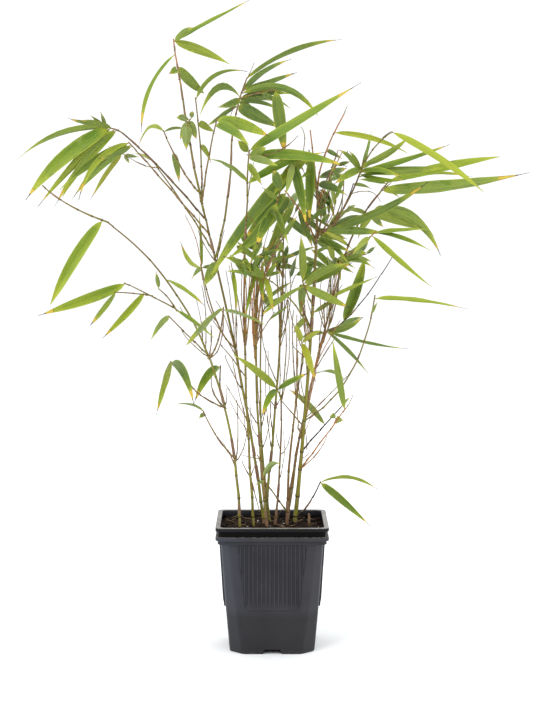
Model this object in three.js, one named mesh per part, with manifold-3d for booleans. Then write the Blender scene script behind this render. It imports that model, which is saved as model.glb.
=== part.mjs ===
// Potted bamboo: a young clump in a square nursery pot, in millimetres, +Z up.
// The origin is the middle of the pot's flat underside. +X is to the right of the pot's front,
// +Y goes from its front to its back.
//
// Every limb is a bend given by three places: where it starts, a place half way, and its tip.
// Every mass of foliage is one spray: a stem, its side twigs and their blades in one piece.
// A blade is named by three sizes as it looks from the front: its clock angle (0 = to the right,
// 90 = straight up), its reach and its breadth. What a blade doesn't show across the front of
// its grown length and breadth, it turns into the depth of the crown.

import * as THREE from 'three';
import { mergeVertices } from 'three/addons/utils/BufferGeometryUtils.js';
import Module from 'manifold-3d';

const wasm = await Module();
wasm.setup();

// ---- the pot ----
const RIM_HALF = 55; // the rim's outer edge to the pot's middle
const RIM_TOP = 124.5;
const LIP_BOTTOM = 121;
const GROOVE_HALF = 52.2;
const FLANGE_TOP = 115.5;
const FLANGE_BOTTOM = 112;
const STEP_HALF = 52.9;
const STEP_BOTTOM = 108;
const BODY_TOP_HALF = 50;
const BODY_KNEE_HALF = 45.4;
const BODY_KNEE = 43.4; // the height where the side panels end
const FOOT_HALF = 41.6;
const FOOT_CHAMFER = 13;
const TOP_CHAMFER = 8.5;
const RIM_CORNER = 7;
const WALL = 1.5;
const FLOOR = 1.8;
const MOUTH_HALF = 50.4;
const PANEL_TOP_HALF = 51.1;
const PANEL_FOOT_HALF = 47.2;
const PANEL_TOP_WIDTH = 68;
const PANEL_FOOT_WIDTH = 51;
const RIB_COUNT = 16;
const RIB_PITCH = 4.1;
const RIB_WIDTH = 2.3;
const RIB_PROUD = 0.6;
const NOTCH_FOOT_WIDTH = 19;
const NOTCH_TOP_WIDTH = 15;
const NOTCH_HEIGHT = 4.2;
const NOTCH_DEPTH = 11;
const POCKET_WALL = 1.6;

// ---- the soil ----
const SOIL_TOP = 116.6;
const SOIL_LUMP = 1.6; // how far its surface rises and falls
const CLUMP_RADIUS = 34; // the level ground that the culms stand on
const SOIL_CELLS = 8;

// ---- the growth ----
const GAP = 0.3; // clear room between two pieces
const SMALLEST_EDGE = 0.02; // finer detail than this is left out of a solid
const CULM_SIDES = 6;
const BOUGH_SIDES = 5;
const TWIG_SIDES = 3;
const BLADE_RINGS = 3;
const BLADE_THICKNESS = 1.15;
const BLADE_BOW = 0.03; // how far a plain blade arches over its chord, as a part of its length
const BLADE_STALK = 0.62; // half the breadth of the blade's root
const GROWN_LEAST = 58; // the length that the shortest blades grow to
const GROWN_SPREAD = 36;
const STEEPEST = 62; // the most that a blade turns into the depth, in degrees
const LONGEST = 168;
const SIDE_LOOKS = [0, 10, -10, 20, -20, 30, -30, 42, -42, 55, -55, 70, -70];
const SIDE_STEPS = [0, 5, -5, 10, -10, 16, -16, 22, -22, 30, -30, 40, -40];

const COLOURS = {
  pot: 0x3f4043,
  soil: 0x33271d,
  olive: 0x84802f,
  brown: 0x6b4a33,
  fresh: 0x7f9c3e,
  deep: 0x5d7a37,
  pale: 0x93a566,
  yellow: 0xa9ad45,
};

const vec = (x, y, z) => new THREE.Vector3(x, y, z);
const UP = vec(0, 0, 1);
const DEEP = vec(0, 1, 0);
const radians = THREE.MathUtils.degToRad;

// A repeatable number from 0 to 1 for the k-th choice of a seed.
function chance(seed, k) {
  const wave = Math.sin(seed * 12.9898 + k * 78.233) * 43758.5453;
  return wave - Math.floor(wave);
}

// ---- solids ----

// The closed solid of a geometry: shared corners are merged, flat slivers left out.
function solidOf(geometry) {
  geometry.deleteAttribute('normal');
  geometry.deleteAttribute('uv');
  const merged = mergeVertices(geometry, 1e-4);
  const index = merged.index.array;
  const kept = [];
  for (let i = 0; i < index.length; i += 3) {
    const [a, b, c] = [index[i], index[i + 1], index[i + 2]];
    if (a !== b && b !== c && c !== a) kept.push(a, b, c);
  }
  const mesh = new wasm.Mesh({
    numProp: 3,
    vertProperties: new Float32Array(merged.attributes.position.array),
    triVerts: new Uint32Array(kept),
  });
  return new wasm.Manifold(mesh);
}

// The named mesh of a solid; a loose scrap beside the biggest piece is left out.
function meshOf(name, solid, colour, roughness) {
  const pieces = solid.decompose().sort((a, b) => b.volume() - a.volume());
  const { vertProperties, triVerts } = pieces[0].simplify(SMALLEST_EDGE).getMesh();
  const indexed = new THREE.BufferGeometry();
  indexed.setAttribute('position', new THREE.BufferAttribute(new Float32Array(vertProperties), 3));
  indexed.setIndex(new THREE.BufferAttribute(new Uint32Array(triVerts), 1));
  const geometry = indexed.toNonIndexed();
  geometry.computeVertexNormals();
  const material = new THREE.MeshStandardMaterial({ color: colour, roughness, metalness: 0 });
  const mesh = new THREE.Mesh(geometry, material);
  mesh.name = name;
  return mesh;
}

// A block between two four-cornered ends: each end lists half width, near and far y, and z.
function wedge(foot, head) {
  const box = new THREE.BoxGeometry(2, 2, 2);
  const place = box.attributes.position;
  for (let i = 0; i < place.count; i += 1) {
    const end = place.getZ(i) < 0 ? foot : head;
    const y = place.getY(i) < 0 ? end.near : end.far;
    place.setXYZ(i, place.getX(i) * end.half, y, end.z);
  }
  return solidOf(box);
}

// The same solid on all four sides of the pot.
function onFourSides(solid) {
  const turned = [0, 90, 180, 270].map((angle) => solid.rotate([0, 0, angle]));
  return wasm.Manifold.union(turned);
}

// A square outline with its corners cut or rounded, as a list of [x, y].
function squareOutline(half, corner, steps) {
  const outline = [];
  for (let side = 0; side < 4; side += 1) {
    for (let k = 0; k <= steps; k += 1) {
      const angle = radians(90 * side + (90 * k) / steps);
      const centre = radians(90 * side + 45);
      const inner = (half - corner) * Math.SQRT2;
      const x = inner * Math.cos(centre) + corner * Math.cos(angle);
      const y = inner * Math.sin(centre) + corner * Math.sin(angle);
      outline.push([x, y]);
    }
  }
  return outline;
}

// The solid between outlines of equal count stacked from the lowest to the highest.
function stack(levels, steps) {
  const count = 4 * (steps + 1);
  const tube = new THREE.CylinderGeometry(1, 1, 1, count, levels.length - 1);
  const place = tube.attributes.position;
  const outlines = levels.map(({ half, corner }) => squareOutline(half, corner, steps));
  for (let i = 0; i < place.count; i += 1) {
    const level = Math.round((place.getY(i) + 0.5) * (levels.length - 1));
    const turn = Math.atan2(-place.getZ(i), place.getX(i)) / (2 * Math.PI);
    const onAxis = Math.hypot(place.getX(i), place.getZ(i)) < 0.5;
    const [x, y] = onAxis ? [0, 0] : outlines[level][((Math.round(turn * count) % count) + count) % count];
    place.setXYZ(i, x, y, levels[level].z);
  }
  return solidOf(tube);
}

// ---- the pot ----

// The inside of the pot, drawn in by a distance from its walls and floor.
function potInside(inset) {
  const wall = WALL + inset;
  return stack(
    [
      { half: FOOT_HALF - wall, corner: FOOT_CHAMFER, z: FLOOR + inset },
      { half: BODY_KNEE_HALF - wall, corner: 11, z: BODY_KNEE },
      { half: BODY_TOP_HALF - wall, corner: TOP_CHAMFER, z: STEP_BOTTOM - 2 },
      { half: MOUTH_HALF - inset, corner: 6, z: FLANGE_TOP },
      { half: MOUTH_HALF - inset, corner: 6, z: RIM_TOP + 5 },
    ],
    1,
  );
}

// The drain notch's tunnel in the front side, wider by a margin.
function notch(margin) {
  const near = -FOOT_HALF - 5;
  const far = -FOOT_HALF + NOTCH_DEPTH + margin;
  return wedge(
    { half: NOTCH_FOOT_WIDTH / 2 + margin, near, far, z: margin > 0 ? 0 : -1 },
    { half: NOTCH_TOP_WIDTH / 2 + margin, near, far, z: NOTCH_HEIGHT + margin },
  );
}

// One upright rib of the front panel, ending on the panel's slanted side.
function rib(x) {
  const inFoot = Math.abs(x) + RIB_WIDTH / 2 - PANEL_FOOT_WIDTH / 2;
  const slope = (STEP_BOTTOM - BODY_KNEE) / ((PANEL_TOP_WIDTH - PANEL_FOOT_WIDTH) / 2);
  const bottom = BODY_KNEE + Math.max(0, inFoot) * slope;
  const share = (bottom - BODY_KNEE) / (STEP_BOTTOM - BODY_KNEE);
  const panel = PANEL_FOOT_HALF + share * (PANEL_TOP_HALF - PANEL_FOOT_HALF);
  const far = 1 - BODY_KNEE_HALF;
  const foot = { half: RIB_WIDTH / 2, near: -panel - RIB_PROUD, far, z: bottom };
  const head = { half: RIB_WIDTH / 2, near: -PANEL_TOP_HALF - RIB_PROUD, far, z: STEP_BOTTOM + 1 };
  return wedge(foot, head).translate([x, 0, 0]);
}

function buildPot() {
  const body = stack(
    [
      { half: FOOT_HALF, corner: FOOT_CHAMFER, z: 0 },
      { half: BODY_KNEE_HALF, corner: 11, z: BODY_KNEE },
      { half: BODY_TOP_HALF, corner: TOP_CHAMFER, z: STEP_BOTTOM },
      { half: BODY_TOP_HALF, corner: TOP_CHAMFER, z: STEP_BOTTOM + 1 },
    ],
    1,
  );
  const band = (half, bottom, top) =>
    stack(
      [
        { half, corner: RIM_CORNER, z: bottom },
        { half, corner: RIM_CORNER, z: top },
      ],
      3,
    );
  const bands = [
    band(STEP_HALF, STEP_BOTTOM, FLANGE_BOTTOM + 0.5),
    band(RIM_HALF, FLANGE_BOTTOM, FLANGE_TOP),
    band(GROOVE_HALF, FLANGE_TOP - 0.5, LIP_BOTTOM + 0.5),
    band(RIM_HALF, LIP_BOTTOM, RIM_TOP),
  ];
  const far = 2 - BODY_KNEE_HALF;
  const panel = wedge(
    { half: PANEL_FOOT_WIDTH / 2, near: -PANEL_FOOT_HALF, far, z: BODY_KNEE },
    { half: PANEL_TOP_WIDTH / 2, near: -PANEL_TOP_HALF, far, z: STEP_BOTTOM + 0.5 },
  );
  const side = [panel];
  for (let k = 0; k < RIB_COUNT; k += 1) {
    side.push(rib((k - (RIB_COUNT - 1) / 2) * RIB_PITCH));
  }
  const outside = wasm.Manifold.union([body, ...bands, onFourSides(wasm.Manifold.union(side))]);
  const pockets = onFourSides(notch(POCKET_WALL)).intersect(body);
  return outside
    .subtract(potInside(0))
    .add(pockets)
    .subtract(onFourSides(notch(0)));
}

// The soil fills the pot to below the lip and lies lumpy around the level clump.
function buildSoil() {
  const side = 2 * MOUTH_HALF;
  const block = new THREE.BoxGeometry(side, side, SOIL_TOP, SOIL_CELLS, SOIL_CELLS, 1);
  const place = block.attributes.position;
  for (let i = 0; i < place.count; i += 1) {
    const [x, y, z] = [place.getX(i), place.getY(i), place.getZ(i) + SOIL_TOP / 2];
    const away = THREE.MathUtils.smoothstep(Math.hypot(x, y - 12), CLUMP_RADIUS, CLUMP_RADIUS + 12);
    const lump = (chance(Math.round(x) + 7, Math.round(y) + 3) - 0.5) * 2 * SOIL_LUMP * away;
    place.setXYZ(i, x, y, z > 1 ? z + lump : z);
  }
  const roof = onFourSides(notch(POCKET_WALL + GAP));
  return solidOf(block).intersect(potInside(GAP)).subtract(roof);
}

// ---- limbs ----

// The bend that leaves one place, passes half way through another, and ends at a tip.
function bendThrough(start, half, tip) {
  const pull = half.clone().multiplyScalar(2).addScaledVector(start, -0.5).addScaledVector(tip, -0.5);
  return new THREE.QuadraticBezierCurve3(start, pull, tip);
}

// A cylinder's mesh laid along a bend. The profile gives the half sizes along the across
// direction and square to it at each part t of the way; the first ring may lie in a given plane.
function alongBend(bend, sides, rings, across, profile, footPlane) {
  const tube = new THREE.CylinderGeometry(1, 1, 1, sides, rings);
  const place = tube.attributes.position;
  for (let i = 0; i < place.count; i += 1) {
    const t = Math.min(1, Math.max(0, place.getY(i) + 0.5));
    const onward = t === 0 && footPlane ? footPlane : bend.getTangent(t);
    const first = across.clone().addScaledVector(onward, -across.dot(onward)).normalize();
    const second = first.clone().cross(onward);
    const [wide, thick] = profile(t);
    const spot = bend.getPoint(t);
    spot.addScaledVector(first, place.getX(i) * wide);
    spot.addScaledVector(second, place.getZ(i) * thick);
    place.setXYZ(i, spot.x, spot.y, spot.z);
  }
  return solidOf(tube);
}

// The rings that keep a limb's straight lengths within a quarter of a millimetre of its bend.
function ringsOf(bend) {
  const turn = bend.v0.clone().addScaledVector(bend.v1, -2).add(bend.v2).length();
  return THREE.MathUtils.clamp(Math.ceil(Math.sqrt(turn)), 3, 10);
}

// A tapering round limb from radius r0 to r1.
function limbSolid(bend, r0, r1, sides, footPlane) {
  const chord = bend.v2.clone().sub(bend.v0).normalize();
  const across = Math.abs(chord.x) < 0.8 ? vec(1, 0, 0) : vec(0, 1, 0);
  const profile = (t) => [r0 + (r1 - r0) * t, r0 + (r1 - r0) * t];
  return alongBend(bend, sides, ringsOf(bend), across, profile, footPlane);
}

// The balls that fill a limb or blade: a new piece keeps clear of those of the other pieces.
function ballsOf(node, bend, radiusAt, spacing) {
  const length = bend.v0.distanceTo(bend.v1) + bend.v1.distanceTo(bend.v2);
  const count = Math.max(4, Math.ceil(length / spacing));
  const balls = [];
  for (let k = 0; k <= count; k += 1) {
    const t = k / count;
    balls.push({ node, t, centre: bend.getPoint(t), radius: radiusAt(t) + 0.15 });
  }
  return balls;
}

const taken = [];

// Whether new balls come within the gap of a ball of another node.
function clashes(balls, isFree) {
  return balls.some((ball) =>
    taken.some((other) => {
      if (other.node === ball.node || isFree(ball, other)) return false;
      const room = ball.radius + other.radius + GAP;
      return ball.centre.distanceToSquared(other.centre) < room * room;
    }),
  );
}

const limbs = {};

// Puts a limb down: it starts on the ground, or clear of the limb that it grows on.
function growLimb(name, plan, sides) {
  const half = vec(...plan.half);
  const tip = vec(...plan.tip);
  const parent = limbs[plan.on];
  const start = parent ? parent.bend.getPoint(plan.at) : vec(...plan.foot, SOIL_TOP + GAP);
  let footPlane = parent ? null : UP;
  if (parent) {
    const onward = parent.bend.getTangent(plan.at);
    const heading = bendThrough(start, half, tip).getTangent(0);
    const parentRadius = THREE.MathUtils.lerp(parent.r0, parent.r1, plan.at);
    if (plan.at === 1) {
      footPlane = onward;
      start.addScaledVector(onward, GAP);
    } else {
      const cosine = Math.abs(heading.dot(onward));
      const sine = Math.max(0.3, Math.sqrt(1 - cosine * cosine));
      start.addScaledVector(heading, (parentRadius + GAP + plan.r0 * cosine) / sine);
    }
  }
  const bend = bendThrough(start, half, tip);
  const { r0, r1 } = plan;
  const near = 3 * (r0 + 1.2);
  const isFree = (ball, other) => other.node === plan.on && ball.centre.distanceTo(start) < near;
  const balls = ballsOf(name, bend, (t) => r0 + (r1 - r0) * t, 2.5);
  return { name, bend, r0, r1, balls, isFree, solid: () => limbSolid(bend, r0, r1, sides, footPlane) };
}

// Tries the limb as planned, then with its half-way place and tip moved in depth.
function fitLimb(name, plan, sides) {
  for (const step of SIDE_STEPS) {
    const moved = {
      ...plan,
      half: [plan.half[0], plan.half[1] + step / 2, plan.half[2]],
      tip: [plan.tip[0], plan.tip[1] + step, plan.tip[2]],
    };
    const limb = growLimb(name, moved, sides);
    if (!clashes(limb.balls, limb.isFree)) {
      taken.push(...limb.balls);
      return limb;
    }
  }
  return null;
}

// ---- blades ----

// Where a blade lies: its bend, its flat direction, and its half sizes along the way.
function layBlade(root, row, seed, k, turn) {
  const [clock, reach, breadth, arched] = row;
  const grown = Math.max(reach * 1.01, GROWN_LEAST + GROWN_SPREAD * chance(seed, k));
  const steep = Math.min(radians(STEEPEST), Math.acos(reach / grown));
  const towards = chance(seed, k + 31) - 0.5 + root.y / 70 > 0 ? 1 : -1;
  const depth = towards * steep + radians(turn);
  if (Math.abs(depth) > radians(STEEPEST + 4)) return null;
  const length = reach / Math.cos(depth);
  if (length > LONGEST) return null;
  const angle = radians(clock);
  const chord = vec(
    Math.cos(angle) * Math.cos(depth),
    Math.sin(depth),
    Math.sin(angle) * Math.cos(depth),
  );
  const arch = UP.clone().addScaledVector(chord, -chord.z).normalize();
  const bow = (arched ?? BLADE_BOW * 2 * chance(seed, k + 17)) * length;
  const tip = root.clone().addScaledVector(chord, length);
  const half = root.clone().lerp(tip, 0.5).addScaledVector(arch, bow);
  const bend = bendThrough(root, half, tip);
  const wide = Math.max(breadth, 0.088 * length * (0.85 + 0.3 * chance(seed, k + 53)));
  const seen = Math.acos(Math.min(1, breadth / wide));
  const inFront = chord.clone().cross(DEEP).normalize();
  const intoDepth = inFront.clone().cross(chord).normalize();
  const across = inFront
    .multiplyScalar(Math.cos(seen))
    .addScaledVector(intoDepth, Math.sin(seen) * (inFront.x * intoDepth.z > 0 ? -1 : 1));
  return { bend, across, length, wide };
}

// Half the breadth of a blade, as a part of its greatest half breadth, at part t of its way.
function bladeOutline(t) {
  const rise = Math.min(1, 0.25 + 2.6 * t);
  const fall = t < 0.4 ? 1 : 1 - ((t - 0.4) / 0.6) ** 1.5;
  return rise * fall;
}

// A thin leaf with sharp sides and a pointed tip, fused to its twig by its blunt root.
function bladeSolid({ bend, across, length, wide }) {
  const thick = Math.max(BLADE_THICKNESS, length / 100) / 2;
  const profile = (t) => {
    const half = t === 0 ? BLADE_STALK : (wide / 2) * bladeOutline(t);
    return t === 1 ? [0, 0] : [half, thick * (1 - 0.3 * t)];
  };
  return alongBend(bend, 4, BLADE_RINGS, across, profile, null);
}

// ---- sprays ----

// How far along its twig the k-th of some blades sits: a place of its own where the twig lists
// them, else evenly from the first place to the twig's end.
function placeOf(from, k, count) {
  if (Array.isArray(from)) return from[k];
  const first = from ?? 0.6;
  return count === 1 ? 0.97 : first + ((0.98 - first) * k) / (count - 1);
}

// One spray: the stem and its side twigs, then a blade for each row, in one solid.
function growSpray(name, plan, seed) {
  const solids = [];
  const twigs = {};
  const blades = [];
  for (const [key, twig] of Object.entries(plan.twigs)) {
    const isStem = key === 'stem';
    let limb;
    if (isStem) {
      limb = fitLimb(name, { ...twig, on: plan.on, at: plan.at }, TWIG_SIDES);
      if (!limb) return null;
    } else {
      const bend = bendThrough(twigs.stem.bend.getPoint(twig.at), vec(...twig.half), vec(...twig.tip));
      const radiusAt = (t) => twig.r0 + (twig.r1 - twig.r0) * t;
      const balls = ballsOf(name, bend, radiusAt, 2.5);
      if (clashes(balls, () => false)) continue;
      taken.push(...balls);
      limb = { bend, solid: () => limbSolid(bend, twig.r0, twig.r1, TWIG_SIDES, null) };
    }
    twigs[key] = limb;
    solids.push(limb.solid());
    const rows = twig.blades;
    rows.forEach((row, k) => {
      blades.push({ root: limb.bend.getPoint(placeOf(twig.from, k, rows.length)), row, k: blades.length });
    });
  }
  for (const { root, row, k } of blades) {
    for (const turn of SIDE_LOOKS) {
      const blade = layBlade(root, row, seed, k, turn);
      if (!blade) continue;
      const radiusAt = (t) => (t === 0 ? BLADE_STALK : (blade.wide / 2) * bladeOutline(t));
      const balls = ballsOf(name, blade.bend, radiusAt, 3);
      if (clashes(balls, () => false)) continue;
      taken.push(...balls);
      solids.push(bladeSolid(blade));
      break;
    }
  }
  return wasm.Manifold.union(solids);
}

// ---- the clump: its culms leave the soil, its boughs leave the culms ----
const CULMS = {
  culm_left: { foot: [-29, 0], half: [-66, -14, 298], tip: [-160, -45, 420], r0: 1.5, r1: 0.8, colour: 'olive' },
  culm_tall: { foot: [-8, 8], half: [-31, 8, 262], tip: [-69, 12, 433], r0: 1.7, r1: 1.1, colour: 'olive' },
  culm_mid_left: { foot: [-16, -2], half: [-24, -22, 304], tip: [-24, -38, 441], r0: 1.4, r1: 0.9, colour: 'olive' },
  culm_centre: { foot: [-5, -6], half: [-15, 0, 248], tip: [-15, 6, 367], r0: 1.6, r1: 0.9, colour: 'olive' },
  culm_inner: { foot: [-2, 16], half: [-11, 20, 216], tip: [-10, 26, 323], r0: 1.3, r1: 0.8, colour: 'olive' },
  culm_brown: { foot: [5, 4], half: [8, 0, 181], tip: [9, -8, 243], r0: 1.2, r1: 0.9, colour: 'brown' },
  culm_back: { foot: [-8, 33], half: [6, 40, 264], tip: [12, 58, 410], r0: 1.6, r1: 0.9, colour: 'olive' },
  culm_front: { foot: [15, 4], half: [19, -8, 201], tip: [30, -22, 282], r0: 1.5, r1: 0.9, colour: 'brown' },
  culm_thick: { foot: [23, 17], half: [38, 14, 291], tip: [46, 8, 447], r0: 2.3, r1: 1.2, colour: 'olive' },
  culm_right: { foot: [16, 33], half: [34, 40, 218], tip: [71, 46, 373], r0: 1.6, r1: 0.95, colour: 'brown' },
};

const BOUGHS = {
  bough_top: { on: 'culm_tall', at: 1, half: [-82, 8, 497], tip: [-91, 0, 557], r0: 1.2, r1: 0.9, colour: 'olive' },
  bough_upper_left: {
    on: 'culm_tall', at: 0.97, half: [-112, -2, 474], tip: [-148, -12, 508], r0: 1, r1: 0.8, colour: 'brown',
  },
  bough_upper_right: {
    on: 'culm_tall', at: 0.86, half: [-45, 24, 442], tip: [-41, 30, 498], r0: 1.1, r1: 0.9, colour: 'olive',
  },
  bough_right: {
    on: 'culm_right', at: 1, half: [87, 40, 416], tip: [109, 30, 449], r0: 1, r1: 0.8, colour: 'brown',
  },
  bough_right_high: {
    on: 'culm_thick', at: 0.86, half: [68, -4, 429], tip: [86, -13, 466], r0: 1, r1: 0.8, colour: 'brown',
  },
};

// ---- the foliage: stem and twigs by their places, blades by [clock, reach, breadth] ----
const twig = (at, half, tip, blades, from) => ({ at, half, tip, blades, from, r0: 0.75, r1: 0.6 });
const stem = (half, tip, blades, from) => ({ half, tip, blades, from, r0: 0.9, r1: 0.62 });

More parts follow.
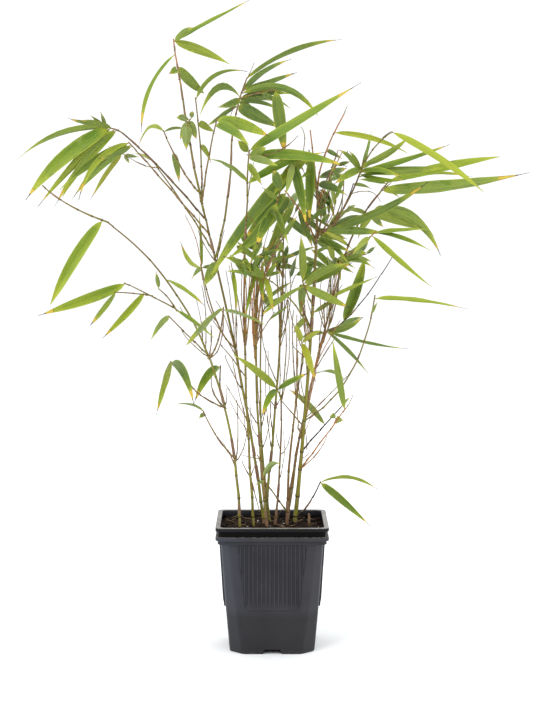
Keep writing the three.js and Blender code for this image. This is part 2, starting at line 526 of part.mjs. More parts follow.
const SPRAYS = {
  leaves_top: {
    on: 'bough_top', at: 1, colour: 'fresh',
    twigs: {
      stem: stem(
        [-95, -2, 580], [-98, -6, 602],
        [[-42, 33, 11, -0.02], [-114, 85, 4.6, 0.12], [-22, 61, 10, 0.03], [28, 90, 5, -0.01], [23, 23, 7]],
        [0.38, 0.66, 0.95, 0.93, 0.93],
      ),
    },
  },
  leaves_tip_left: {
    on: 'bough_top', at: 0.12, colour: 'fresh',
    twigs: {
      stem: stem(
        [-92, 18, 476], [-110, 26, 513],
        [[-84, 29, 7], [-158, 33, 3.6, 0.17], [14, 20, 3]],
        [0.71, 0.98, 0.98],
      ),
    },
  },
  leaves_curled: {
    on: 'bough_top', at: 0.62, colour: 'pale',
    twigs: {
      stem: stem(
        [-84, -8, 518], [-80, -14, 522],
        [[-93, 26, 11], [-71, 18, 8], [177, 12, 7], [73, 7, 5], [-119, 19, 8]],
        [0.45, 0.8, 0.87, 0.98, 0.66],
      ),
    },
  },
  leaves_inner_tip: {
    on: 'bough_top', at: 0.06, colour: 'fresh',
    twigs: {
      stem: stem(
        [-72, 28, 488], [-78, 38, 547],
        [[-60, 20, 6], [30, 61, 4.7, 0.2], [-27, 18, 8]],
        [0.6, 0.98, 0.8],
      ),
    },
  },
  leaves_inner_right: {
    on: 'bough_top', at: 0.04, colour: 'fresh',
    twigs: {
      stem: stem(
        [-63, -8, 483], [-54, -22, 522],
        [[-35, 41, 10], [-21, 56, 12], [-7, 45, 7]],
        [0.92, 0.98, 0.98],
      ),
    },
  },
  leaves_upper_left: {
    on: 'bough_upper_left', at: 1, colour: 'fresh',
    twigs: {
      stem: stem(
        [-156, -16, 512], [-164, -20, 513],
        [[-138, 108, 15, 0.06], [-132, 105, 8, 0.02], [-127, 96, 7, 0.03], [170, 33, 3.9, -0.03],
          [-159, 93, 6, 0.1], [-128, 86, 8, 0.05], [-133, 68, 7, 0.02]],
        [0.8, 0.68, 0.44, 0.85, 0.97, 0.32, 0.32],
      ),
    },
  },
  leaves_upper_left_low: {
    on: 'culm_tall', at: 0.93, colour: 'deep',
    twigs: {
      stem: stem(
        [-112, -22, 466], [-140, -38, 498],
        [[-145, 82, 9, 0.05], [-152, 31, 5, -0.04], [-129, 73, 6, 0.15], [-137, 75, 5, 0.08]],
        [0.98, 0.91, 0.98, 0.93],
      ),
    },
  },
  leaves_far_left: {
    on: 'culm_tall', at: 0.88, colour: 'pale',
    twigs: {
      stem: stem([-87, 24, 434], [-123, 30, 485], [[161, 29, 3, 0.04]], [0.97]),
      outer: twig(0.91,
        [-127, -90, 475], [-144, -96, 487],
        [[154, 17, 2.8], [-140, 67, 5, 0.03], [-67, 8, 2.8]],
        [0.95, 0.96, 0.87],
      ),
    },
  },
  leaves_high: {
    on: 'bough_upper_right', at: 1, colour: 'deep',
    twigs: {
      stem: stem(
        [-36, 28, 532], [-25, 22, 566],
        [[-155, 39, 6, -0.02], [-24, 50, 14, 0], [-16, 82, 8, 0.22], [7, 52, 7], [-161, 46, 8, 0.27],
          [-151, 25, 8, -0.04], [21, 60, 5, -0.02], [38, 65, 6, 0.05], [23, 106, 5, 0.075], [-37, 29, 7]],
        [0.58, 0.59, 0.76, 0.7, 0.71, 0.69, 0.82, 0.78, 0.98, 0.65],
      ),
      outer: twig(0.7,
        [-12, 14, 550], [4, 4, 552],
        [[-21, 36, 3], [-31, 26, 5], [-81, 67, 13]],
        [0.45, 0.54, 0.97],
      ),
    },
  },
  leaves_mid_left_top: {
    on: 'culm_mid_left', at: 1, colour: 'fresh',
    twigs: {
      stem: stem(
        [-24, -42, 466], [-22, -46, 490],
        [[153, 44, 3.4], [21, 86, 8, 0.05], [-6, 96, 11, 0.07], [31, 126, 10, 0], [133, 16, 8], [22, 18, 8]],
        [0.35, 0.32, 0.85, 0.98, 0.93, 0.87],
      ),
    },
  },
  leaves_crown: {
    on: 'culm_thick', at: 1, colour: 'deep',
    twigs: {
      stem: stem(
        [51, 6, 482], [72, 0, 528],
        [[-72, 36, 8], [-17, 75, 6, 0.06], [21, 34, 8], [-24, 19, 5], [-26, 30, 9], [-57, 37, 5, 0.12]],
        [0.07, 0.81, 0.26, 0.62, 0.18, 0.08],
      ),
    },
  },
  leaves_hanging: {
    on: 'culm_thick', at: 0.96, colour: 'deep',
    twigs: {
      stem: stem(
        [43, -10, 466], [36, -22, 491],
        [[-91, 68, 10], [145, 17, 6], [-129, 164, 13, 0.035], [-146, 20, 4], [-161, 65, 9, 0.06]],
        [0.88, 0.64, 0.89, 0.6, 0.86],
      ),
      inner: twig(0.75,
        [30, -26, 481], [20, -34, 477],
        [[-80, 65, 10, 0.03], [-138, 15, 5], [-122, 39, 8]],
        [0.96, 0.8, 0.96],
      ),
    },
  },
  leaves_orange_stem: {
    on: 'culm_thick', at: 0.84, colour: 'deep',
    twigs: {
      stem: stem(
        [30, 22, 429], [13, 28, 452],
        [[-39, 32, 6], [-117, 74, 7], [-124, 49, 12], [-130, 68, 12], [-36, 19, 7], [-30, 53, 3]],
        [0.36, 0.72, 0.87, 0.96, 0.46, 0.56],
      ),
    },
  },
  leaves_right_high: {
    on: 'bough_right_high', at: 1, colour: 'fresh',
    twigs: {
      stem: stem(
        [88, -16, 472], [90, -18, 481],
        [[127, 22, 3.9], [-151, 34, 8], [17, 91, 6, -0.03], [3, 86, 9, -0.01], [32, 50, 7, -0.04],
          [72, 47, 4.4], [-14, 36, 6], [141, 31, 5], [29, 42, 5, 0]],
        [0.37, 0.51, 0.32, 0.32, 0.7, 0.3, 0.39, 0.3, 0.57],
      ),
      outer: twig(0.7, [104, -26, 497], [118, -34, 508], [[-34, 107, 8, 0.03]], [0.97]),
    },
  },
  leaves_right: {
    on: 'bough_right', at: 1, colour: 'fresh',
    twigs: {
      stem: stem(
        [114, 28, 456], [120, 26, 463],
        [[7, 155, 13, -0.028], [-27, 21, 5], [4, 88, 4.1], [12, 118, 10, 0.015], [167, 26, 5]],
        [0.21, 0.42, 0.78, 0.97, 0.7],
      ),
    },
  },
  leaves_right_mid: {
    on: 'bough_right', at: 0.6, colour: 'fresh',
    twigs: {
      stem: stem(
        [104, 56, 430], [110, 62, 432],
        [[24, 15, 6], [-35, 82, 8, 0.17], [-24, 71, 7, 0.12], [-16, 68, 10, 0.02], [-115, 31, 9], [168, 23, 5]],
        [0.54, 0.81, 0.96, 0.38, 0.54, 0.26],
      ),
    },
  },
  leaves_orange_twig: {
    on: 'culm_thick', at: 0.72, colour: 'fresh',
    twigs: {
      stem: stem(
        [72, -14, 384], [102, -30, 411],
        [[-141, 25, 6], [-41, 78, 6, -0.02], [-19, 52, 5, 0.03], [4, 48, 4.4], [-6, 14, 5], [25, 28, 6],
          [-17, 28, 4]],
        [0.9, 0.93, 0.98, 0.98, 0.64, 0.42, 0.49],
      ),
    },
  },
  leaves_right_drop: {
    on: 'bough_right', at: 0.12, colour: 'deep',
    twigs: {
      stem: stem(
        [88, 60, 385], [98, 66, 387],
        [[-19, 19, 4.1], [33, 14, 4.1], [-23, 25, 5], [34, 26, 6]],
        [0.45, 0.98, 0.2, 0.09],
      ),
    },
  },
  leaves_right_node: {
    on: 'culm_right', at: 0.74, colour: 'deep',
    twigs: {
      stem: stem(
        [51, 54, 298], [56, 60, 308],
        [[-156, 31, 4.1], [-46, 68, 4.6], [-12, 89, 4.1, -0.04], [16, 42, 8, -0.06]],
        [0.87, 0.98, 0.94, 0.98],
      ),
      outer: twig(0.94, [66, 62, 311], [74, 56, 318], [[69, 71, 12, -0.04], [10, 28, 5]], [0.98, 0.74]),
    },
  },
  leaves_long_twig: {
    on: 'culm_thick', at: 0.29, colour: 'fresh',
    twigs: {
      stem: stem([78, -16, 272], [100, -40, 349], [[73, 14, 2.9], [-6, 90, 4.5, 0.02]], [0.89, 0.98]),
    },
  },
  leaves_low_twig: {
    on: 'culm_thick', at: 0.15, colour: 'fresh',
    twigs: {
      stem: stem([49, -10, 203], [72, -32, 238], [[-7, 8, 8], [101, 73, 7, -0.015]], [0.81, 0.98]),
      curl: twig(0.77, [62, -22, 224], [63, -24, 227], [[140, 8, 6]], [0.91]),
    },
  },
  leaves_low_inner: {
    on: 'culm_thick', at: 0.2, colour: 'pale',
    twigs: {
      stem: stem([46, 22, 207], [71, 32, 233], [[141, 46, 7, 0.05], [36, 13, 3]], [0.68, 0.98]),
    },
  },
  leaves_lowest_right: {
    on: 'culm_thick', at: 0.02, colour: 'deep',
    twigs: {
      stem: stem([37, 4, 139], [48, -10, 163], [[-37, 60, 8, 0.02], [-14, 63, 4.5, 0.09]], [0.98, 0.98]),
    },
  },
  leaves_lowest_left: {
    on: 'culm_front', at: 0.08, colour: 'pale',
    twigs: {
      stem: stem([3, -14, 150], [-10, -22, 169], [[46, 27, 6, 0.12], [-168, 9, 3]], [0.98, 0.92]),
    },
  },
  leaves_centre_left: {
    on: 'culm_thick', at: 0.56, colour: 'fresh',
    twigs: {
      stem: stem(
        [16, -12, 346], [-8, -26, 366],
        [[151, 47, 9, 0.03], [57, 20, 5], [-76, 33, 6, 0.04], [168, 37, 5, 0.02]],
        [0.96, 0.96, 0.98, 0.98],
      ),
    },
  },
  leaves_centre: {
    on: 'culm_thick', at: 0.64, colour: 'fresh',
    twigs: {
      stem: stem(
        [34, 0, 351], [30, -6, 362],
        [[-26, 52, 9], [-92, 39, 9], [28, 47, 8], [57, 31, 6], [94, 46, 8], [-148, 52, 5, 0.02]],
        [0.72, 0.82, 0.82, 0.91, 0.98, 0.72],
      ),
    },
  },
  leaves_back: {
    on: 'culm_back', at: 1, colour: 'deep',
    twigs: {
      stem: stem(
        [14, 60, 424], [18, 66, 432],
        [[62, 24, 8], [-41, 36, 9], [-118, 38, 9], [149, 26, 7], [61, 26, 8], [-114, 41, 6]],
        [0.38, 0.56, 0.78, 0.96, 0.86, 0.18],
      ),
    },
  },
  leaves_back_low: {
    on: 'culm_back', at: 0.84, colour: 'deep',
    twigs: {
      stem: stem(
        [7, 62, 374], [4, 72, 380],
        [[-8, 22, 6], [20, 48, 5], [171, 28, 5], [118, 18, 7]],
        [0.47, 0.75, 0.82, 0.94],
      ),
    },
  },
  leaves_inner_dark: {
    on: 'culm_mid_left', at: 0.84, colour: 'deep',
    twigs: {
      stem: stem(
        [-4, -44, 420], [8, -54, 451],
        [[-132, 74, 12, -0.08], [-116, 36, 10], [109, 21, 10], [142, 19, 5], [-70, 36, 6]],
        [0.83, 0.67, 0.98, 0.86, 0.73],
      ),
    },
  },
  leaves_back_right: {
    on: 'culm_right', at: 0.88, colour: 'fresh',
    twigs: {
      stem: stem(
        [62, 74, 368], [66, 84, 382],
        [[152, 37, 6], [25, 39, 8], [100, 32, 7], [-69, 26, 6], [-152, 32, 5], [27, 28, 7], [138, 28, 7],
          [23, 55, 4.6, 0]],
        [0.5, 0.64, 0.8, 0.92, 0.39, 0.46, 0.59, 0.1],
      ),
    },
  },
  leaves_dark_right: {
    on: 'culm_thick', at: 0.88, colour: 'deep',
    twigs: {
      stem: stem(
        [54, 18, 412], [60, 26, 413],
        [[-22, 34, 9], [-3, 64, 9], [26, 110, 9, -0.05], [15, 44, 8], [-57, 22, 8], [38, 32, 7]],
        [0.06, 0.4, 0.97, 0.87, 0.12, 0.61],
      ),
    },
  },
  leaves_long: {
    on: 'culm_tall', at: 0.6, colour: 'fresh',
    twigs: {
      stem: stem(
        [-57, 22, 323], [-72, 32, 376],
        [[-137, 16, 5, 0.08], [133, 36, 5, -0.13], [93, 59, 3.2]],
        [0.97, 0.98, 0.98],
      ),
    },
  },
  leaves_left_tip: {
    on: 'culm_left', at: 1, colour: 'fresh',
    twigs: {
      stem: stem([-194, -66, 436], [-219, -74, 455], [[-121, 96, 12, 0.035]], [0.05]),
    },
  },
  leaves_left: {
    on: 'culm_left', at: 0.58, colour: 'fresh',
    twigs: {
      stem: stem(
        [-105, -32, 341], [-144, -44, 361],
        [[-33, 46, 3.9], [-131, 54, 7, -0.02], [-160, 89, 11, -0.015]],
        [0.29, 0.77, 0.98],
      ),
      lower: twig(0.69, [-136, -46, 351], [-153, -50, 352], [[-123, 34, 5, 0]], [0.94]),
      upper: twig(0.31, [-102, -30, 346], [-111, -34, 355], [[92, 18, 4.5, 0]], [0.98]),
    },
  },
  leaves_left_inner: {
    on: 'culm_left', at: 0.47, colour: 'fresh',
    twigs: {
      stem: stem([-79, 12, 301], [-105, 30, 325], [[-130, 37, 6, 0.06]], [0.98]),
    },
  },
  leaves_left_right: {
    on: 'culm_left', at: 0.46, colour: 'pale',
    twigs: {
      stem: stem([-52, -34, 307], [-47, -52, 338], [[-137, 44, 6, 0], [-16, 46, 3.3]], [0.98, 0.96]),
    },
  },
  leaves_left_low: {
    on: 'culm_left', at: 0.31, colour: 'deep',
    twigs: {
      stem: stem([-60, -20, 243], [-75, -34, 255], [], []),
      outer: twig(0.97,
        [-86, -38, 269], [-99, -42, 285],
        [[-102, 44, 6, 0.05], [-53, 43, 9, 0.13]],
        [0.97, 0.96],
      ),
    },
  },
  leaves_left_low_inner: {
    on: 'culm_left', at: 0.32, colour: 'fresh',
    twigs: {
      stem: stem([-52, 14, 253], [-52, 26, 275], [[-127, 41, 9, 0.13]], [0.98]),
    },
  },
  leaves_left_lowest: {
    on: 'culm_left', at: 0.17, colour: 'pale',
    twigs: {
      stem: stem([-55, -16, 209], [-68, -30, 236], [[-141, 6, 5], [157, 30, 3.4]], [0.94, 0.98]),
    },
  },
  leaves_brown_culm: {
    on: 'culm_brown', at: 1, colour: 'fresh',
    twigs: {
      stem: stem(
        [7, -12, 251], [4, -18, 256],
        [[-126, 27, 7, 0.12], [137, 57, 8, 0.02], [38, 36, 5, 0]],
        [0.75, 0.97, 0.81],
      ),
    },
  },
  leaves_front_culm: {
    on: 'culm_front', at: 1, colour: 'yellow',
    twigs: {
      stem: stem(
        [30, -27, 294], [29, -32, 302],
        [[-70, 34, 7], [111, 22, 6, 0.05], [41, 22, 5]],
        [0.97, 0.97, 0.97],
      ),
    },
  },
  leaves_inner_culm: {
    on: 'culm_inner', at: 1, colour: 'fresh',
    twigs: {
      stem: stem(
        [-10, 30, 338], [-12, 36, 352],
        [[25, 31, 4.1], [32, 40, 5], [89, 36, 5], [-64, 25, 6]],
        [0.19, 0.46, 0.71, 0.96],
      ),
    },
  },
  leaves_centre_culm: {
    on: 'culm_centre', at: 1, colour: 'deep',
    twigs: {
      stem: stem(
        [-16, 2, 380], [-18, -2, 392],
        [[18, 45, 4], [-79, 41, 5], [21, 27, 5], [127, 24, 9], [-102, 56, 5, 0.08], [72, 27, 9]],
        [0.19, 0.46, 0.67, 0.96, 0.35, 0.92],
      ),
    },
  },
};

// ---- the whole ----

const plant = new THREE.Group();
plant.name = 'potted_bamboo';
plant.add(meshOf('pot', buildPot(), COLOURS.pot, 0.5));
plant.add(meshOf('soil', buildSoil(), COLOURS.soil, 0.95));

for (const [name, plan] of Object.entries({ ...CULMS, ...BOUGHS })) {
  const limb = fitLimb(name, plan, name in CULMS ? CULM_SIDES : BOUGH_SIDES);
  limbs[name] = limb;
  plant.add(meshOf(name, limb.solid(), COLOURS[plan.colour], 0.6));
}

Object.entries(SPRAYS).forEach(([name, plan], seed) => {
  const solid = growSpray(name, plan, seed + 1);
  if (solid) plant.add(meshOf(name, solid, COLOURS[plan.colour], 0.65));
});

export default plant;
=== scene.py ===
"""A young clump of bamboo in a square nursery pot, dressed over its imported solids.

The growth is worked out in millimetres by the same rule as the part's source: every limb is a
bend through three places, and every blade lies by its clock angle, reach and breadth as they look
from the front. Meshes are numpy surfaces, turned into metres as they are put into Blender.
"""
import logging
import math
from dataclasses import dataclass, field
from enum import Enum
from typing import Callable, Iterable, Sequence

import bpy
import numpy as np
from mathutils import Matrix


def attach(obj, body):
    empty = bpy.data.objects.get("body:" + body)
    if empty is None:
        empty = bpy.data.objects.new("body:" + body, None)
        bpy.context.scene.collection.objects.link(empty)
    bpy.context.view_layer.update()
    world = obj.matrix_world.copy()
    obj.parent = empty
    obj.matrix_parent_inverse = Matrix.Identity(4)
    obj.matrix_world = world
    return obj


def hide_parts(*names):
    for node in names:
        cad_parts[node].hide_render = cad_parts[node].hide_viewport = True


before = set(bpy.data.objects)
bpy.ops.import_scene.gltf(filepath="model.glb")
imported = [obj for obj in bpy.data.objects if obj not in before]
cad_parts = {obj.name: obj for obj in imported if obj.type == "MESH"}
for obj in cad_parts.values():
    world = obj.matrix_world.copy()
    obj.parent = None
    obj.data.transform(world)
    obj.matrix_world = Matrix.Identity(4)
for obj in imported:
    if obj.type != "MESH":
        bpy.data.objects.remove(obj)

Array = np.ndarray
Socket = bpy.types.NodeSocket
Material = bpy.types.Material
Luck = Callable[[float], float]
LOG = logging.getLogger("potted_bamboo")
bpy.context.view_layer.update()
MM = 0.001
SLEEVE_SIDES = 7  # corners round a sheath
STRAW_SIDES = 5  # corners round a leaf's stalk, a straw and a crumb

# ---- the growth's rule, as in the part's source; lengths in mm, angles in degrees ----
SOIL_TOP = 116.6  # where the culms leave the soil
GAP = 0.3  # the clear room between pieces
SKIN = 0.15  # how much wider than a limb the balls are that keep its place
GROWN_LEAST = 58.0  # a blade's least grown length, and how much longer it can be
GROWN_SPREAD = 36.0
GROWN_MORE = 1.01  # how much longer than its reach a blade is at the least
STEEPEST = 62.0  # how steeply a blade turns into the depth, and how much a free turn may add
STEEPER = 4.0
LONGEST = 168.0  # the longest a blade may be
CROWN_DEPTH = 70.0  # a blade that starts this far from the crown's middle points away from it
BLADE_BOW = 0.03  # a blade's usual arch as a part of its length
BLADE_STALK = 0.62  # the radius kept free round its foot
BLADE_SLIM = 0.088  # its least breadth as a part of its length, and how that varies
SLIM_LEAST, SLIM_SPREAD = 0.85, 0.3
STEM_RADII = (0.9, 0.62)  # at the foot and the tip
SIDE_RADII = (0.75, 0.6)
FINE_TAPER = 0.6  # a bare twig's tip as a part of its foot
LIMB_STEP = 2.5  # how far apart the balls of a limb sit, and those of a blade
BLADE_STEP = 3.0
FREE_SEED = 211  # the seed of the single leaves
# the choice of a seed that each thing about a blade hangs on
TOWARDS_CHOICE, BOW_CHOICE, SLIM_CHOICE = 31, 17, 53
# the turns into the depth that a blade may try, and the steps in depth for a limb
SIDE_LOOKS = (0, 10, -10, 20, -20, 30, -30, 42, -42, 55, -55, 70, -70)
SIDE_STEPS = (0, 5, -5, 10, -10, 16, -16, 22, -22, 30, -30, 40, -40)
UP = np.array((0.0, 0.0, 1.0))
DEEP = np.array((0.0, 1.0, 0.0))


class Tone(Enum):
    """The greens that whole sprays of leaves have; each value is the name of its finish slot."""

    FRESH = "leaves_fresh"
    DEEP = "leaves_deep"
    PALE = "leaves_pale"
    YELLOW = "leaves_yellow"


class Bark(Enum):
    """The two skins of the canes; each value is the name of its finish slot."""

    OLIVE = "culm_olive"
    BROWN = "culm_brown"


class TwigSkin(Enum):
    """What a fine twig's skin looks like."""

    OLIVE = "o"
    BROWN = "b"
    ORANGE = "r"
    DARK = "d"


@dataclass(frozen=True)
class LimbPlan:
    """A limb by its places in mm: what it grows on and where, its half-way place and its tip."""

    on: str
    at: float
    half: tuple[float, float, float]
    tip: tuple[float, float, float]
    r0: float
    r1: float
    bark: Bark = Bark.BROWN
    foot: tuple[float, float] | None = None


@dataclass(frozen=True)
class BladePlan:
    """A leaf: its place along the twig, and its clock angle, reach, breadth and perhaps arch."""

    place: float
    row: tuple[float, ...]
    marks: tuple[float, ...]  # how light and how ripe it is, for one whose colour stands out


@dataclass(frozen=True)
class TwigPlan:
    """A spray's stem or side twig by its half-way place and tip, and its leaves."""

    at: float | None  # the part of the stem where a side twig leaves; none for the stem
    half: tuple[float, ...]
    tip: tuple[float, ...]
    blades: tuple[BladePlan, ...]


@dataclass(frozen=True)
class SprayPlan:
    """One mass of foliage: the limb that it grows on, its green, its stem and side twigs."""

    on: str
    at: float
    tone: Tone
    twigs: tuple[TwigPlan, ...]
    skin: TwigSkin | None  # where its twigs have one of their own


@dataclass(frozen=True)
class BarePlan:
    """A fine twig without leaves; on is a limb, or a spray and the number of its twig (spray/n)."""

    on: str
    at: float
    half: tuple[float, ...]
    tip: tuple[float, ...]
    radius: float
    skin: TwigSkin


@dataclass(frozen=True)
class LeafPlan:
    """A single leaf; on is a limb, a spray's twig, or one of the bare twigs (bare/n)."""

    on: str
    at: float
    row: tuple[float, ...]
    tone: Tone


def numbers(words: Iterable[str]) -> tuple[float, ...]:
    """The words as numbers."""
    return tuple(float(word) for word in words)


def read_twig(text: str) -> TwigPlan:
    """Reads a stem or side twig.

    Args:
        text: "stem" or the part of the stem, the half-way place and the tip in mm, a colon, then
            "place clock reach breadth [arch] [@ light ripe]" for each blade, with semicolons.

    Returns:
        The twig's plan.
    """
    shape, _, found = text.partition(":")
    start, *spots = shape.split()
    blades = []
    for blade in filter(str.strip, found.split(";")):
        row, _, marks = blade.partition("@")
        place, *shape = numbers(row.split())
        blades.append(BladePlan(place, tuple(shape), numbers(marks.split())))
    at = None if start == "stem" else float(start)
    return TwigPlan(at, numbers(spots[:3]), numbers(spots[3:]), tuple(blades))


def read_sprays(text: str) -> dict[str, SprayPlan]:
    """Reads the sprays.

    Args:
        text: a block for each, with empty lines between them: "name limb part GREEN [skin]" and,
            each after a stroke, its twigs.

    Returns:
        The plans by name, in the same order.
    """
    sprays = {}
    for block in text.strip().split("\n\n"):
        head, *twigs = block.split("/")
        name, on, at, tone, *skin = head.split()
        skin = TwigSkin(skin[0]) if skin else None
        sprays[name] = SprayPlan(on, float(at), Tone[tone], tuple(map(read_twig, twigs)), skin)
    return sprays


def read_bare(text: str) -> list[BarePlan]:
    """Reads the bare twigs.

    Args:
        text: "limb: part, half-way place, tip, radius, skin" for each, with semicolons between
            them; a row without a limb grows on the last one named.

    Returns:
        The plans in the same order.
    """
    twigs, on = [], ""
    for row in text.split(";"):
        name, colon, found = row.rpartition(":")
        on = name.strip() if colon else on
        *words, skin = found.split()
        at, *spots, radius = numbers(words)
        twigs.append(BarePlan(on, at, tuple(spots[:3]), tuple(spots[3:]), radius, TwigSkin(skin)))
    return twigs


def read_free(text: str) -> list[LeafPlan]:
    """Reads the single leaves.

    Args:
        text: "limb part clock reach breadth arch green" for each, with semicolons between them;
            the green is its first letter.

    Returns:
        The plans in the same order.
    """
    tones = {tone.name[0].lower(): tone for tone in Tone}
    leaves = []
    for row in text.split(";"):
        on, *words, green = row.split()
        at, *shape = numbers(words)
        leaves.append(LeafPlan(on, at, tuple(shape), tones[green]))
    return leaves


CULMS: dict[str, LimbPlan] = {
    "culm_left": LimbPlan("", 0, (-67, -14, 298), (-160, -45, 420), 1.5, 0.8, Bark.OLIVE, (-32, 0)),
    "culm_tall": LimbPlan("", 0, (-31, 8, 262), (-69, 12, 433), 1.7, 1.1, Bark.OLIVE, (-8, 8)),
    "culm_mid_left": LimbPlan("", 0, (-27, -22, 304), (-24, -38, 441), 1.4, 0.9, Bark.OLIVE, (-18, -2)),
    "culm_centre": LimbPlan("", 0, (-15, 0, 248), (-15, 6, 367), 1.6, 0.9, Bark.OLIVE, (-5, -6)),
    "culm_inner": LimbPlan("", 0, (-11, 20, 216), (-10, 26, 323), 1.3, 0.8, Bark.OLIVE, (-2, 16)),
    "culm_brown": LimbPlan("", 0, (8, 0, 181), (9, -8, 243), 1.2, 0.9, Bark.BROWN, (3, 4)),
    "culm_back": LimbPlan("", 0, (6, 40, 264), (12, 58, 410), 1.6, 0.9, Bark.OLIVE, (-8, 33)),
    "culm_front": LimbPlan("", 0, (19, -8, 201), (30, -22, 282), 1.5, 0.9, Bark.BROWN, (15, 4)),
    "culm_thick": LimbPlan("", 0, (38, 14, 291), (46, 8, 447), 2.3, 1.2, Bark.OLIVE, (23, 17)),
    "culm_right": LimbPlan("", 0, (32, 40, 218), (71, 46, 373), 1.6, 0.95, Bark.BROWN, (16, 33)),
}

BOUGHS: dict[str, LimbPlan] = {
    "bough_top": LimbPlan("culm_tall", 1, (-82, 8, 497), (-91, 0, 557), 1.2, 0.9, Bark.OLIVE),
    "bough_upper_left": LimbPlan("culm_tall", 0.97, (-112, -2, 474), (-148, -12, 508), 1, 0.8, Bark.BROWN),
    "bough_upper_right": LimbPlan("culm_tall", 0.86, (-45, 24, 442), (-41, 30, 498), 1.1, 0.9, Bark.OLIVE),
    "bough_right": LimbPlan("culm_right", 1, (87, 40, 416), (109, 30, 449), 1, 0.8, Bark.BROWN),
    "bough_right_high": LimbPlan("culm_thick", 0.86, (68, -4, 429), (86, -13, 466), 1, 0.8, Bark.BROWN),
}

